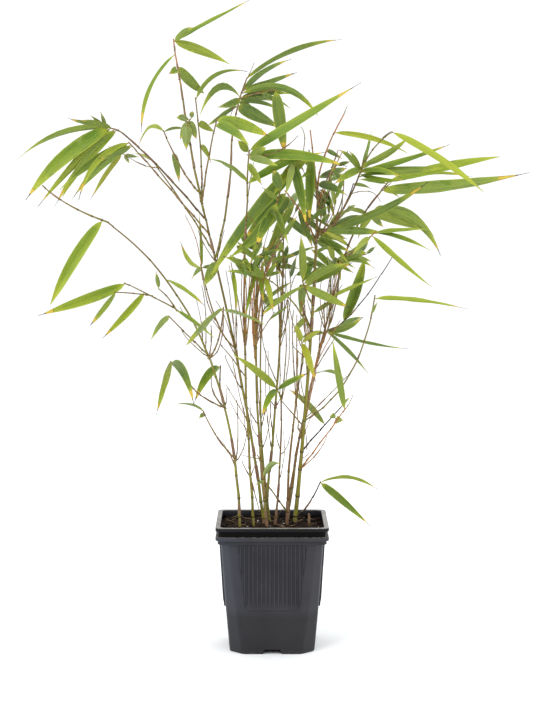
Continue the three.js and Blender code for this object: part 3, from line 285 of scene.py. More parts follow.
# the sprays, in the order in which they grow
SPRAYS = read_sprays(
    """
leaves_top bough_top 1 FRESH r
/ stem -95 -2 580 -98 -6 602: .38 -42 33 11 -.02 @ .1 0; .66 -114 85 4.6 .12 @ .4 .1;
  .95 -22 61 10 .03 @ .85 .5; .93 28 90 5 -.01 @ .3 0; .93 23 23 7

leaves_tip_left bough_top .12 FRESH
/ stem -92 18 476 -110 26 513: .71 -84 29 7; .98 -158 33 3.6 .17; .98 14 20 3

leaves_curled bough_top .62 PALE
/ stem -84 -8 518 -80 -14 522: .45 -93 26 11; .8 -71 18 8; .87 177 12 7; .98 73 7 5; .66 -119 19 8

leaves_inner_tip bough_top .06 FRESH o
/ stem -72 28 488 -78 38 547: .6 -60 20 6; .98 30 61 4.7 .2; .8 -27 18 8

leaves_inner_right bough_top .04 FRESH
/ stem -63 -8 483 -54 -22 522: .92 -35 41 10; .98 -21 56 12; .98 -7 45 7

leaves_upper_left bough_upper_left 1 FRESH
/ stem -156 -16 512 -164 -20 513: .8 -138 108 15 .06 @ .3 0; .68 -132 105 8 .02 @ .9 .5;
  .44 -127 96 7 .03 @ .1 0; .85 170 33 3.9 -.03; .97 -159 93 6 .1 @ .3 0; .32 -128 86 8 .05 @ .25 0;
  .32 -133 68 7 .02 @ .5 0

leaves_upper_left_low culm_tall .93 DEEP
/ stem -112 -22 466 -140 -38 498: .98 -145 82 9 .05 @ .25 0; .91 -152 31 5 -.04; .98 -129 73 6 .15 @ 1 .9;
  .93 -137 75 5 .08 @ .2 0

leaves_far_left culm_tall .88 PALE
/ stem -87 24 434 -123 30 485: .97 161 29 3 .04
/ .91 -127 -90 475 -144 -96 487: .95 154 17 2.8; .96 -140 67 5 .03; .87 -67 8 2.8

leaves_high bough_upper_right 1 DEEP
/ stem -36 28 532 -25 22 566: .58 -155 39 6 -.02; .59 -24 50 14 0 @ 0 0; .76 -16 82 8 .22 @ 0 0;
  .7 7 52 7 @ 0 0; .71 -161 46 8 .27 @ .6 0; .69 -151 25 8 -.04; .82 21 60 5 -.02; .78 38 65 6 .05 @ .1 0;
  .98 23 106 5 .075 @ .5 .2; .65 -37 29 7
/ .7 -12 14 550 4 4 552: .45 -21 36 3; .54 -31 26 5; .97 -81 67 13 @ 1 .2

leaves_mid_left_top culm_mid_left 1 FRESH o
/ stem -24 -42 466 -22 -46 490: .35 153 44 3.4; .32 21 86 8 .05 @ 0 0; .85 -6 96 11 .07 @ 0 0;
  .98 31 126 10 0 @ .3 0; .93 133 16 8; .87 22 18 8

leaves_crown culm_thick 1 DEEP r
/ stem 51 6 482 72 0 528: .07 -72 36 8; .81 -17 75 6 .06 @ 1 1.5; .26 21 34 8; .62 -24 19 5; .18 -26 30 9;
  .08 -57 37 5 .12

leaves_hanging culm_thick .96 DEEP
/ stem 43 -10 466 36 -22 491: .88 -91 68 10; .64 145 17 6; .89 -129 164 13 .035 @ .35 0; .6 -146 20 4;
  .86 -161 65 9 .06
/ .75 30 -26 481 20 -34 477: .96 -80 65 10 .03; .8 -138 15 5; .96 -122 39 8

leaves_orange_stem culm_thick .84 DEEP r
/ stem 30 22 429 13 28 452: .36 -39 32 6; .72 -117 74 7 @ 1 .3; .87 -124 49 12; .96 -130 68 12; .46 -36 19 7;
  .56 -30 53 3

leaves_right_high bough_right_high 1 FRESH
/ stem 88 -16 472 90 -18 481: .37 127 22 3.9; .51 -151 34 8; .32 17 91 6 -.03 @ .2 0; .32 3 86 9 -.01 @ .2 0;
  .7 32 50 7 -.04; .3 72 47 4.4; .39 -14 36 6; .3 141 31 5; .57 29 42 5 0
/ .7 104 -26 497 118 -34 508: .97 -34 107 8 .03 @ 1 1.1

leaves_right bough_right 1 FRESH
/ stem 114 28 456 120 26 463: .21 7 155 13 -.028 @ .15 0; .42 -27 21 5; .78 4 88 4.1;
  .97 12 118 10 .015 @ .7 .1; .7 167 26 5

leaves_right_mid bough_right .6 FRESH
/ stem 104 56 430 110 62 432: .54 24 15 6; .81 -35 82 8 .17 @ .05 0; .96 -24 71 7 .12 @ .05 0;
  .38 -16 68 10 .02 @ .8 .4; .54 -115 31 9; .26 168 23 5

leaves_orange_twig culm_thick .72 FRESH r
/ stem 72 -14 384 102 -30 411: .9 -141 25 6; .93 -41 78 6 -.02; .98 -19 52 5 .03; .98 4 48 4.4; .64 -6 14 5;
  .42 25 28 6; .49 -17 28 4

leaves_right_drop bough_right .12 DEEP
/ stem 88 60 385 98 66 387: .45 -19 19 4.1; .98 33 14 4.1; .2 -23 25 5; .09 34 26 6

leaves_right_node culm_right .74 DEEP
/ stem 51 54 298 56 60 308: .87 -156 31 4.1; .98 -46 68 4.6; .94 -12 89 4.1 -.04; .98 16 42 8 -.06
/ .94 66 62 311 74 56 318: .98 69 71 12 -.04; .74 10 28 5

leaves_long_twig culm_thick .29 FRESH
/ stem 78 -16 272 100 -40 349: .89 73 14 2.9; .98 -6 90 4.5 .02 @ .8 .6

leaves_low_twig culm_thick .15 FRESH r
/ stem 49 -10 203 72 -32 238: .81 -7 8 8; .98 101 73 7 -.015
/ .77 62 -22 224 63 -24 227: .91 140 8 6

leaves_low_inner culm_thick .2 PALE d
/ stem 46 22 207 71 32 233: .68 141 46 7 .05; .98 36 13 3

leaves_lowest_right culm_thick .02 DEEP d
/ stem 37 4 139 48 -10 163: .98 -37 60 8 .02 @ .4 .1; .98 -14 63 4.5 .09 @ 1 .7

leaves_lowest_left culm_front .08 PALE o
/ stem 3 -14 150 -10 -22 169: .98 46 27 6 .12; .92 -168 9 3

leaves_centre_left culm_thick .56 FRESH
/ stem 16 -12 346 -8 -26 366: .96 151 47 9 .03 @ .1 0; .96 57 20 5; .98 -76 33 6 .04 @ 1 1.3; .98 168 37 5 .02

leaves_centre culm_thick .64 FRESH
/ stem 34 0 351 30 -6 362: .72 -26 52 9; .82 -92 39 9; .82 28 47 8; .91 57 31 6; .98 94 46 8 @ 1 .5;
  .72 -148 52 5 .02

leaves_back culm_back 1 DEEP
/ stem 14 60 424 18 66 432: .38 62 24 8; .56 -41 36 9; .78 -118 38 9; .96 149 26 7; .86 61 26 8; .18 -114 41 6

leaves_back_low culm_back .84 DEEP
/ stem 7 62 374 4 72 380: .47 -8 22 6; .75 20 48 5; .82 171 28 5; .94 118 18 7

leaves_inner_dark culm_mid_left .84 DEEP
/ stem -4 -44 420 8 -54 451: .83 -132 74 12 -.08; .67 -116 36 10; .98 109 21 10; .86 142 19 5; .73 -70 36 6

leaves_back_right culm_right .88 FRESH
/ stem 62 74 368 66 84 382: .5 152 37 6; .64 25 39 8; .8 100 32 7; .92 -69 26 6; .39 -152 32 5; .46 27 28 7;
  .59 138 28 7; .1 23 55 4.6 0

leaves_dark_right culm_thick .88 DEEP
/ stem 54 18 412 60 26 413: .06 -22 34 9; .4 -3 64 9; .97 26 110 9 -.05; .87 15 44 8; .12 -57 22 8; .61 38 32 7

leaves_long culm_tall .6 FRESH
/ stem -57 22 323 -72 32 376: .97 -137 16 5 .08; .98 133 36 5 -.13 @ 1 1.2; .98 93 59 3.2

leaves_left_tip culm_left 1 FRESH o
/ stem -194 -66 436 -219 -74 455: .05 -121 96 12 .035 @ .5 .2

leaves_left culm_left .58 FRESH
/ stem -105 -32 341 -144 -44 361: .29 -33 46 3.9; .77 -131 54 7 -.02; .98 -160 89 11 -.015 @ .55 .2
/ .69 -136 -46 351 -153 -50 352: .94 -123 34 5 0
/ .31 -102 -30 346 -111 -34 355: .98 92 18 4.5 0

leaves_left_inner culm_left .47 FRESH
/ stem -79 12 301 -105 30 325: .98 -130 37 6 .06

leaves_left_right culm_left .46 PALE
/ stem -52 -34 307 -47 -52 338: .98 -137 44 6 0; .96 -16 46 3.3

leaves_left_low culm_left .31 DEEP
/ stem -60 -20 243 -75 -34 255:
/ .97 -86 -38 269 -99 -42 285: .97 -102 44 6 .05 @ 1 .9; .96 -53 43 9 .13 @ .15 0

leaves_left_low_inner culm_left .32 FRESH
/ stem -52 14 253 -52 26 275: .98 -127 41 9 .13

leaves_left_lowest culm_left .17 PALE
/ stem -55 -16 209 -68 -30 236: .94 -141 6 5; .98 157 30 3.4

leaves_brown_culm culm_brown 1 FRESH
/ stem 7 -12 251 4 -18 256: .75 -126 27 7 .12; .97 137 57 8 .02 @ .9 .8; .81 38 36 5 0

leaves_front_culm culm_front 1 YELLOW
/ stem 30 -27 294 29 -32 302: .97 -70 34 7 @ .9 .6; .97 111 22 6 .05; .97 41 22 5

leaves_inner_culm culm_inner 1 FRESH
/ stem -10 30 338 -12 36 352: .19 25 31 4.1; .46 32 40 5; .71 89 36 5; .96 -64 25 6

leaves_centre_culm culm_centre 1 DEEP
/ stem -16 2 380 -18 -2 392: .19 18 45 4; .46 -79 41 5; .67 21 27 5; .96 127 24 9; .35 -102 56 5 .08 @ .8 .7;
  .92 72 27 9
"""
)

# the parts of each cane's way between which its colour ages from olive to brown
CANE_AGES: dict[str, tuple[float, float]] = {
    "culm_left": (0.5, 0.8), "culm_tall": (0.2, 1.0), "culm_mid_left": (-0.3, 0.9), "culm_centre": (-0.4, 1.4),
    "culm_back": (0.3, 1.2), "culm_thick": (0.35, 1.0), "bough_top": (-0.2, 0.8), "bough_upper_right": (-0.3, 0.9),
    "bough_upper_left": (-0.5, 0.2),
}

# the papery sleeve at the foot of some culms: its length in mm
FOOT_SLEEVES: dict[str, float] = {
    "culm_centre": 15, "culm_back": 11, "culm_brown": 17, "culm_front": 13, "culm_right": 20, "culm_tall": 8,
}


# the larger straws lying on the soil, from end to end
STRAWS: tuple[tuple, ...] = (
    ((-46, 27, 119), (-35, 3, 119)), ((4, 34, 118), (12, 28, 131)), ((-41, 38, 119), (-30, 36, 121)),
    ((36, 30, 119), (44, 22, 120)), ((-22, 12, 119), (-12, 8, 119)), ((22, 8, 119), (31, 16, 121)),
)

# young leaves grow between these heights and these sides, and this part of the twigs there has none
YOUNG_HEIGHTS, YOUNG_SIDES, YOUNG_LEFT_OUT = (362.0, 482.0), (-28.0, 75.0), 0.3
# their seeds, each with its place along the twig; the fan of their angles; least and spread of their sizes
YOUNG_SEEDS, YOUNG_FAN, YOUNG_REACH, YOUNG_BREADTH = {97: 1.0, 128: 0.75}, 110.0, (12, 16), (3, 2.6)

# single leaves between the sprays
FREE_LEAVES = read_free(
    """
culm_left .74 -31 47 3.9 .03 f; bare/11 .95 -82 44 3.9 0 d; culm_thick .85 -36 21 5 0 d;
bough_right_high .1 -29 37 5 .02 y; culm_thick .81 17 17 4 .02 d; leaves_back_right .98 -25 27 3.7 0 d;
culm_thick .88 -15 35 8 .02 d; bough_right .06 -7 31 3.1 .03 f; culm_thick .71 32 42 5 0 d;
leaves_right_drop .48 48 22 6.2 0 d; leaves_centre .98 32 33 4 0 d; bare/141 .42 -17 37 4.1 .08 f;
bare/48 .89 -121 21 6 0 f; bare/41 .31 -142 23 5.1 0 f; bare/18 .83 31 24 3 0 f;
leaves_right_high .15 -10 42 4.9 -.05 f; bough_right_high .98 2 36 4 .03 d; bare/58 .98 -10 21 4 .03 d;
leaves_mid_left_top .85 -20 30 7.8 .02 p; leaves_orange_stem .59 -69 43 7.1 0 d; leaves_high .65 -7 43 5.1 .05 d;
leaves_high .68 4 38 6.1 .03 d; leaves_long .98 12 13 4.1 0 p; leaves_crown .17 -146 22 6 .02 d;
bare/53 .98 28 17 5 0 f; bare/51 .09 -39 20 6 0 d; bare/16 .68 17 19 3.9 0 f; culm_back .9 -145 19 5.1 0 d;
culm_thick .78 -150 18 5 0 d; leaves_orange_twig .38 -29 16 4 0 d; bare/2 .06 -114 25 11 0 f;
bare/65 .19 -23 34 8 0 d; bough_right_high .07 -50 37 6 .02 d; leaves_orange_stem .12 -69 20 5 0 d;
leaves_right_mid .42 -44 21 8.2 0 f; leaves_right_mid .17 -8 35 7.2 .03 f; leaves_hanging/1 .98 -104 34 6.8 0 d;
leaves_upper_left .62 170 28 4.9 .02 f; leaves_top .32 -142 10 8 0 f; leaves_mid_left_top .73 -59 26 6.8 0 d;
leaves_orange_stem .51 -70 37 6.1 0 d; bare/149 .98 -140 73 6.1 .04 d; bare/149 .98 153 19 4.1 0 d;
bare/149 .92 -65 9 4.1 0 p; bare/149 .92 -6 13 4.1 0 p; bare/149 .97 -129 61 6.1 .05 y;
leaves_upper_left .98 100 14 3.9 0 p; leaves_upper_left .98 140 16 3.9 0 p
"""
)


# the fine bare twigs that carry each node's growth on; a limb's name holds until the next name
BARE_TWIGS = read_bare(
    """
culm_tall: .85 -69 12 399 -74 14 412 .56 b; .85 -60 13 397 -65 16 412 .56 b; .85 -53 14 392 -48 17 412 .56 b;
leaves_long: .46 -65 30 338 -73 40 377 .63 b; culm_left: .49 -66 -9 331 -70 -4 357 .56 b;
culm_tall: .56 -42 15 296 -60 22 321 .63 b; culm_left: .46 -60 -18 303 -60 -23 319 .63 b;
.46 -51 -13 300 -48 -14 336 .63 b; culm_mid_left: .39 -42 -11 288 -52 -4 299 .63 b;
culm_left: .46 -81 -10 301 -91 -8 316 .56 b; .58 -86 -15 328 -91 -12 336 .56 b;
culm_mid_left: .48 -33 -33 341 -40 -45 381 .63 b; culm_tall: .44 -35 7 292 -36 6 327 .56 b;
culm_mid_left: .47 -27 -29 344 -27 -38 388 .7 r; culm_centre: .68 -17 3 312 -19 4 352 .63 r;
.7 -15 5 342 -14 7 380 .7 b; .68 -10 -13 353 -4 -28 381 .7 r; leaves_centre_left: .98 5 -31 395 17 -35 412 .7 r;
culm_centre: .68 -12 -1 307 3 -5 331 .63 b; culm_back: .47 -6 47 284 -10 54 304 .56 b;
.66 6 51 350 4 58 386 .63 b; .62 11 33 346 12 22 390 .63 b; .62 19 52 340 15 61 386 .56 o;
.66 18 37 349 24 30 366 .56 b; culm_brown: .98 14 -5 293 12 -1 322 .63 b;
culm_front: .76 20 -27 304 21 -39 334 .63 b; .8 24 -30 295 24 -44 330 .63 b;
culm_tall: .46 -42 13 273 -47 19 286 .56 b; culm_mid_left: .53 -30 -30 353 -28 -38 385 .56 b;
.53 -23 -30 353 -20 -37 381 .63 r; culm_centre: .85 -10 17 372 3 29 402 .63 r; .89 -4 14 377 11 24 410 .7 b;
culm_thick: .56 34 11 324 33 9 337 .63 b; .56 34 18 326 29 23 338 .63 b; .57 39 14 327 35 14 342 .56 o;
leaves_right_node: .98 52 61 317 49 63 328 .63 b; .98 54 57 322 54 54 337 .63 b;
leaves_right_node/1: .07 60 65 322 62 70 337 .56 b; culm_right: .69 49 45 289 55 47 307 .7 r;
leaves_right_node/1: .06 66 72 334 72 83 376 .7 b; culm_right: .68 58 48 291 68 55 305 .56 o;
.85 62 41 349 66 37 376 .56 b; .86 61 42 351 64 40 373 .56 b; .84 57 39 344 59 33 369 .56 b;
.88 66 38 356 72 32 379 .56 b; .83 49 37 341 51 30 363 .56 b; culm_thick: .52 32 11 317 33 7 342 .63 b;
.47 25 15 291 20 16 298 .56 b; .41 33 3 297 33 -9 333 .56 b; leaves_right_node/1: .98 97 61 343 125 66 384 .7 d;
culm_thick: .98 42 4 479 38 1 512 .98 r; .98 58 5 470 66 1 492 .7 r; .96 58 15 464 71 21 491 .7 r;
.94 56 9 447 58 8 462 .63 b; .91 33 8 427 28 6 437 .56 b; .98 35 8 462 28 8 482 .56 b;
leaves_hanging/1: .58 32 -25 502 28 -23 514 .56 o; leaves_mid_left_top: .89 3 -54 487 25 -62 503 .63 b;
bough_right_high: .32 73 8 437 82 16 459 .84 d; leaves_dark_right: .98 70 16 442 72 7 467 .7 b;
.91 69 29 428 72 34 453 .63 b; culm_thick: .85 55 14 420 57 18 432 .56 b;
bough_right_high: .04 60 2 427 63 -5 442 .56 b; .08 66 12 422 78 16 437 .56 b;
culm_thick: .84 39 9 414 37 8 426 .56 b; .84 48 11 412 49 12 424 .56 b;
leaves_right_high: .37 77 -19 481 74 -23 490 .63 b; leaves_right_high/1: .57 111 -30 505 117 -32 509 .49 d;
bough_right_high: .78 97 -13 450 107 -17 440 .49 b; leaves_right: .33 120 31 459 123 33 463 .49 b;
culm_mid_left: .94 -16 -39 417 -10 -42 402 .49 b; leaves_inner_dark: .04 -27 -32 391 -28 -30 381 .49 b;
culm_mid_left: .98 -22 -32 456 -18 -26 479 .49 o; leaves_high: .7 -38 29 538 -42 32 528 .56 b;
.98 -21 21 573 -18 20 581 .49 o; leaves_crown: .97 73 0 531 75 -1 536 .49 b;
culm_left: .16 -34 -2 203 -35 -2 243 .7 b; .16 -29 1 193 -25 4 212 .63 b; .15 -41 -5 188 -44 -7 195 .49 b;
culm_mid_left: .12 -27 -6 176 -30 -4 183 .63 b; .12 -18 -6 176 -15 -4 182 .56 b;
culm_centre: .25 -22 -1 186 -31 1 188 .49 b; culm_inner: .48 -7 15 229 -3 9 246 .63 b;
culm_centre: .38 -20 3 227 -26 7 238 .56 o; culm_inner: .38 -4 12 211 -1 5 238 .56 b;
culm_back: .39 0 37 236 -2 36 240 .63 o; .39 8 38 239 12 39 251 .56 b; culm_brown: .59 5 2 203 4 4 210 .56 b;
culm_left: .31 -58 -9 250 -60 -11 268 .7 b; .31 -55 -3 245 -59 0 254 .49 b; .31 -45 -6 245 -45 -6 255 .56 b;
culm_right: .48 20 38 226 9 35 239 .77 b; culm_thick: .27 28 15 208 25 14 216 .7 b;
culm_right: .48 35 37 203 35 34 188 .56 b; culm_brown: .56 14 -4 195 18 -7 209 .56 b;
.35 12 -5 188 11 -11 214 .49 b; culm_mid_left: .12 -16 -5 146 -12 -3 131 .63 b; .22 -27 -5 218 -28 1 238 .49 b;
culm_thick: .15 46 11 189 55 7 206 .63 r; .18 38 14 189 33 11 195 .42 b;
culm_right: .5 51 50 235 78 61 261 .63 o; leaves_low_twig: .98 76 -32 244 79 -31 251 .49 b;
culm_thick: .34 28 14 246 27 14 261 .63 b; .23 26 12 221 25 8 247 .63 b;
culm_right: .28 25 38 188 29 40 208 .84 o; .06 21 41 146 26 48 186 .84 o;
culm_centre: .08 -10 -6 174 -15 -7 189 .98 b; culm_inner: .06 -6 15 153 -11 13 186 1.12 o;
culm_mid_left: .27 -34 -20 241 -45 -26 260 .56 b; .24 -35 -7 229 -42 -2 243 .49 b;
.47 -25 -35 344 -27 -50 381 .69 b; culm_centre: .68 -18 2 332 -16 2 374 .86 r; .68 -15 13 332 -10 23 380 .75 r;
culm_mid_left: .47 -21 -33 344 -20 -45 385 .69 b; culm_centre: .72 -10 9 342 5 16 380 .69 r;
.7 -6 16 342 1 30 384 .57 b; culm_inner: .85 -13 27 321 -16 30 351 .52 b; culm_back: .6 9 51 340 6 60 379 .57 o;
.6 13 31 341 13 19 384 .57 o; .58 7 40 330 5 39 373 .52 b; .59 16 33 331 11 23 372 .52 b;
leaves_front_culm: .54 21 -21 319 16 -15 343 .52 b; culm_thick: .52 32 11 322 30 7 342 .57 r;
.52 34 13 322 29 12 340 .69 r; .56 43 24 341 45 34 371 .52 b; culm_right: .75 56 53 314 68 63 370 .75 r;
.76 60 58 319 73 73 378 .69 b; .74 51 42 320 59 41 361 .52 o; .81 64 44 340 72 43 356 .52 b;
.69 51 47 294 60 52 330 .69 r; .69 55 42 294 70 42 320 .57 r; culm_tall: .59 -40 3 332 -46 -3 372 .52 b;
.59 -36 6 332 -43 3 377 .57 b; .59 -46 2 322 -56 -5 342 .52 b; culm_mid_left: .26 -32 -16 249 -39 -18 284 .52 b;
culm_inner: .49 -14 33 249 -16 46 289 .57 o; culm_back: .24 -6 51 237 -6 67 287 .52 b;
.28 -2 39 238 -4 43 289 .52 b; leaves_brown_culm: .32 8 -10 293 9 -10 323 .52 b;
culm_brown: .98 17 -13 293 14 -19 343 .52 b; culm_front: .58 24 -22 255 25 -33 295 .69 b;
culm_right: .57 43 36 269 51 31 300 .8 r; culm_thick: .27 38 22 240 45 28 270 .75 r;
culm_centre: .98 -9 13 392 -2 19 417 .52 b; culm_back: .97 19 55 420 29 53 438 .52 r;
culm_thick: .95 53 14 452 65 18 477 .57 r; .85 50 15 427 53 20 452 .57 b;
culm_left: .14 -42 0 188 -50 2 202 .46 b; .51 -71 -12 325 -75 -10 343 .46 b;
leaves_far_left: .91 -133 33 479 -154 37 491 .57 b; leaves_long: .98 -77 29 402 -88 26 427 .52 r;
culm_centre: .63 -19 6 312 -20 11 344 1.03 r; .67 -16 -2 317 -17 -6 343 .92 o;
culm_thick: .23 36 16 216 44 16 236 .52 r; culm_centre: .33 -20 2 218 -22 6 242 .52 b;
culm_thick: .35 29 19 261 31 22 291 .52 b
"""
)

# ---- shapes: whole arrays, in mm ----


def chance(seed: float, k: float) -> float:
    """A repeatable number from 0 to 1 for the k-th choice of a seed: the fraction of a big sine."""
    wave = math.sin(seed * 12.9898 + k * 78.233) * 43758.5453
    return wave - math.floor(wave)


def unit(vectors: Array) -> Array:
    """The vectors scaled to length one."""
    return vectors / np.maximum(np.linalg.norm(vectors, axis=-1, keepdims=True), 1e-9)


def bell(distance: Array, width: float) -> Array:
    """A smooth bump, one at distance zero: e to the minus (distance over width) squared."""
    return np.exp(-((distance / width) ** 2))


def smooth(value: Array, low: float, high: float) -> Array:
    """Rises from 0 at low to 1 at high with level ends: 3u squared minus 2u cubed."""
    share = np.clip((value - low) / (high - low), 0, 1)
    return share * share * (3 - 2 * share)


def turns(count: int) -> Array:
    """Even angles round a circle, from 0."""
    return np.linspace(0, 2 * math.pi, count, endpoint=False)


def quarter(side: int) -> Array:
    """What turns the rows of places round the upright axis by a number of quarter turns."""
    cos, sin = math.cos(math.radians(90 * side)), math.sin(math.radians(90 * side))
    return np.array(((cos, sin, 0), (-sin, cos, 0), (0, 0, 1)))


def bend_at(t: Array, v0: Array, v1: Array, v2: Array) -> Array:
    """Part t of a bend from v0 to v2: (1-t) squared v0 + 2t(1-t) v1 + t squared v2."""
    return (1 - t) ** 2 * v0 + 2 * t * (1 - t) * v1 + t**2 * v2


@dataclass
class Shape:
    """Closed surfaces on their way into a mesh.

    points are the corners in mm, quads and tris the faces, skins the number of each face's finish
    (quads first), and marks hold one number for each corner.
    """

    points: Array
    quads: Array
    tris: Array
    skins: Array
    marks: dict[str, Array] = field(default_factory=dict)

    @staticmethod
    def join(shapes: Iterable["Shape"]) -> "Shape":
        """All the shapes as one: their corners in a row, with the faces' numbers moved up.

        Args:
            shapes: the shapes to join, each with the same marks.

        Returns:
            One shape, its quads first.
        """
        shapes = list(shapes)
        starts = np.cumsum([0] + [len(s.points) for s in shapes[:-1]])
        quad_skins = [s.skins[: len(s.quads)] for s in shapes]
        tri_skins = [s.skins[len(s.quads):] for s in shapes]
        return Shape(
            np.concatenate([s.points for s in shapes]),
            np.concatenate([s.quads + n for s, n in zip(shapes, starts)]),
            np.concatenate([s.tris + n for s, n in zip(shapes, starts)]),
            np.concatenate(quad_skins + tri_skins),
            {key: np.concatenate([s.marks[key] for s in shapes]) for key in shapes[0].marks},
        )


def loft(rings: Array, marks: dict[str, Array] | None = None, side_skins: Array | None = None) -> Shape:
    """A skin over a pile of closed rings, with a pole in the middle of each end.

    Corner j of ring i meets corner j + 1 and the same corners of ring i + 1, the last corner meets
    the first, and each end is a fan of triangles round the mean of its ring.

    Args:
        rings: corners as (ring, corner, xyz), counter-clockwise seen from the last ring.
        marks: arrays of (ring, corner) numbers kept with the corners.
        side_skins: the number of the finish for each of the ring's sides.

    Returns:
        The closed shape.
    """
    count, sides = rings.shape[:2]
    index = np.arange(count * sides).reshape(count, sides)
    after = np.roll(index, -1, axis=1)
    quads = np.stack((index[:-1], after[:-1], after[1:], index[1:]), axis=-1).reshape(-1, 4)
    foot, head = count * sides, count * sides + 1
    poles = [np.full(sides, foot), np.full(sides, head)]
    fans = [
        np.stack((poles[0], after[0], index[0]), axis=-1),
        np.stack((poles[1], index[-1], after[-1]), axis=-1),
    ]
    points = np.concatenate((rings.reshape(-1, 3), rings[0].mean(0)[None], rings[-1].mean(0)[None]))
    kept = {}
    for key, values in (marks or {}).items():
        full = np.broadcast_to(values, (count, sides))
        kept[key] = np.concatenate((full.ravel(), [full[0].mean()], [full[-1].mean()]))
    skins = np.zeros(sides, int) if side_skins is None else side_skins
    face_skins = np.concatenate((np.tile(skins, count - 1), skins, skins))
    return Shape(points, quads, np.concatenate(fans), face_skins, kept)


@dataclass
class Bend:
    """The curve that leaves one place, passes half way through another, and ends at a tip."""

    v0: Array
    v1: Array
    v2: Array

    @staticmethod
    def through(start: Array, half: Array, tip: Array) -> "Bend":
        """The bend that is at half when t is a half."""
        return Bend(start, 2 * half - (start + tip) / 2, tip)

    def point(self, t: Array | float) -> Array:
        """Places on the bend at each part t."""
        return bend_at(np.asarray(t, float)[..., None], self.v0, self.v1, self.v2)

    def tangent(self, t: Array | float) -> Array:
        """Unit directions of the bend at each part t."""
        t = np.asarray(t, float)[..., None]
        return unit((1 - t) * (self.v1 - self.v0) + t * (self.v2 - self.v1))

    def length(self) -> float:
        """The bend's length, as a fine line of straight steps."""
        steps = self.point(np.linspace(0, 1, 33))
        return float(np.linalg.norm(np.diff(steps, axis=0), axis=1).sum())

    def reach(self) -> float:
        """The length of the two straight lines that hold the bend."""
        return float(np.linalg.norm(self.v1 - self.v0) + np.linalg.norm(self.v2 - self.v1))


def cross_frames(tangents: Array, across: Array) -> tuple[Array, Array]:
    """Two directions square to each tangent: the nearest to across, and the one square to both."""
    first = unit(across - (tangents @ across)[:, None] * tangents)
    return first, np.cross(tangents, first)


def round_rings(centres: Array, tangents: Array, across: Array, radii: Array, sides: int) -> Array:
    """Rings round a path: centre + radius (cos a first + sin a second).

    Args:
        centres: the path's places.
        tangents: its directions there.
        across: a direction that the rings start from.
        radii: the radius of each ring.
        sides: how many corners a ring has.

    Returns:
        Corners as (ring, corner, xyz).
    """
    first, second = cross_frames(tangents, across)
    angle = turns(sides)
    out = np.cos(angle)[None, :, None] * first[:, None] + np.sin(angle)[None, :, None] * second[:, None]
    return centres[:, None] + radii[:, None, None] * out


def fibre_marks(sides: int, along: Array, shade: float) -> dict[str, Array]:
    """The marks of a small tube: across it round the ring, along it ring by ring, one shade all over."""
    return {"across": np.cos(turns(sides))[None], "along": along[:, None], "shade": np.full((1, sides), shade)}


def steady_across(bend: Bend) -> Array:
    """A direction that the bend's chord is well away from."""
    chord = unit(bend.v2 - bend.v0)
    return np.array((1.0, 0, 0)) if abs(chord[0]) < 0.8 else DEEP


# ---- the growth ----


class Room:
    """The balls that fill what has grown; a new piece keeps clear of those of other pieces."""

    def __init__(self) -> None:
        """Starts with nothing taken."""
        self.centres = np.zeros((0, 3))
        self.radii = np.zeros(0)
        self.owners = np.zeros(0, dtype=object)

    def take(self, owner: str, centres: Array, radii: Array) -> None:
        """Adds an owner's balls."""
        self.centres = np.concatenate((self.centres, centres))
        self.radii = np.concatenate((self.radii, radii))
        self.owners = np.concatenate((self.owners, np.full(len(radii), owner, dtype=object)))

    def clashes(
        self, owner: str, centres: Array, radii: Array, parent: str = "", start: Array | None = None,
        near: float = 0.0,
    ) -> bool:
        """Whether new balls come within the gap of a ball of another owner.

        Args:
            owner: whose balls they are.
            centres: their middles.
            radii: their radii.
            parent: the limb that it grows on, whose balls don't count close to the start.
            start: where it leaves the parent.
            near: how close to the start that holds.

        Returns:
            True where they come too close.
        """
        other = self.owners != owner
        if not other.any():
            return False
        apart = np.linalg.norm(centres[:, None] - self.centres[None, other], axis=2)
        hit = apart < radii[:, None] + self.radii[None, other] + GAP
        if parent and start is not None:
            close = np.linalg.norm(centres - start, axis=1) < near
            hit &= ~(close[:, None] & (self.owners[other] == parent)[None])
        return bool(hit.any())


@dataclass
class Limb:
    """A limb that has its place: its bend, and its radii at both ends."""

    bend: Bend
    r0: float
    r1: float

    def radius(self, t: Array | float) -> Array | float:
        """Its radius at each part t of its way."""
        return self.r0 + (self.r1 - self.r0) * t


@dataclass
class Blade:
    """A leaf that has its place: its bend, its flat direction, length and breadth, and its seed."""

    bend: Bend
    across: Array
    length: float
    wide: float
    luck: Luck
    marks: tuple[float, ...] = ()  # its shade and ripeness, where they are given


def balls_of(bend: Bend, radius_at: Callable[[Array], Array], spacing: float) -> tuple[Array, Array]:
    """Balls at even parts of a bend, a skin wider than its radius there."""
    count = max(4, math.ceil(bend.reach() / spacing))
    t = np.arange(count + 1) / count
    return bend.point(t), radius_at(t) + SKIN


def blade_outline(t: Array) -> Array:
    """The rule's half breadth: min(1, 0.25 + 2.6t), less ((t-0.4)/0.6) to the 1.5 past 0.4."""
    fall = np.where(t < 0.4, 1, 1 - (np.maximum(t - 0.4, 0) / 0.6) ** 1.5)
    return np.minimum(1, 0.25 + 2.6 * t) * fall


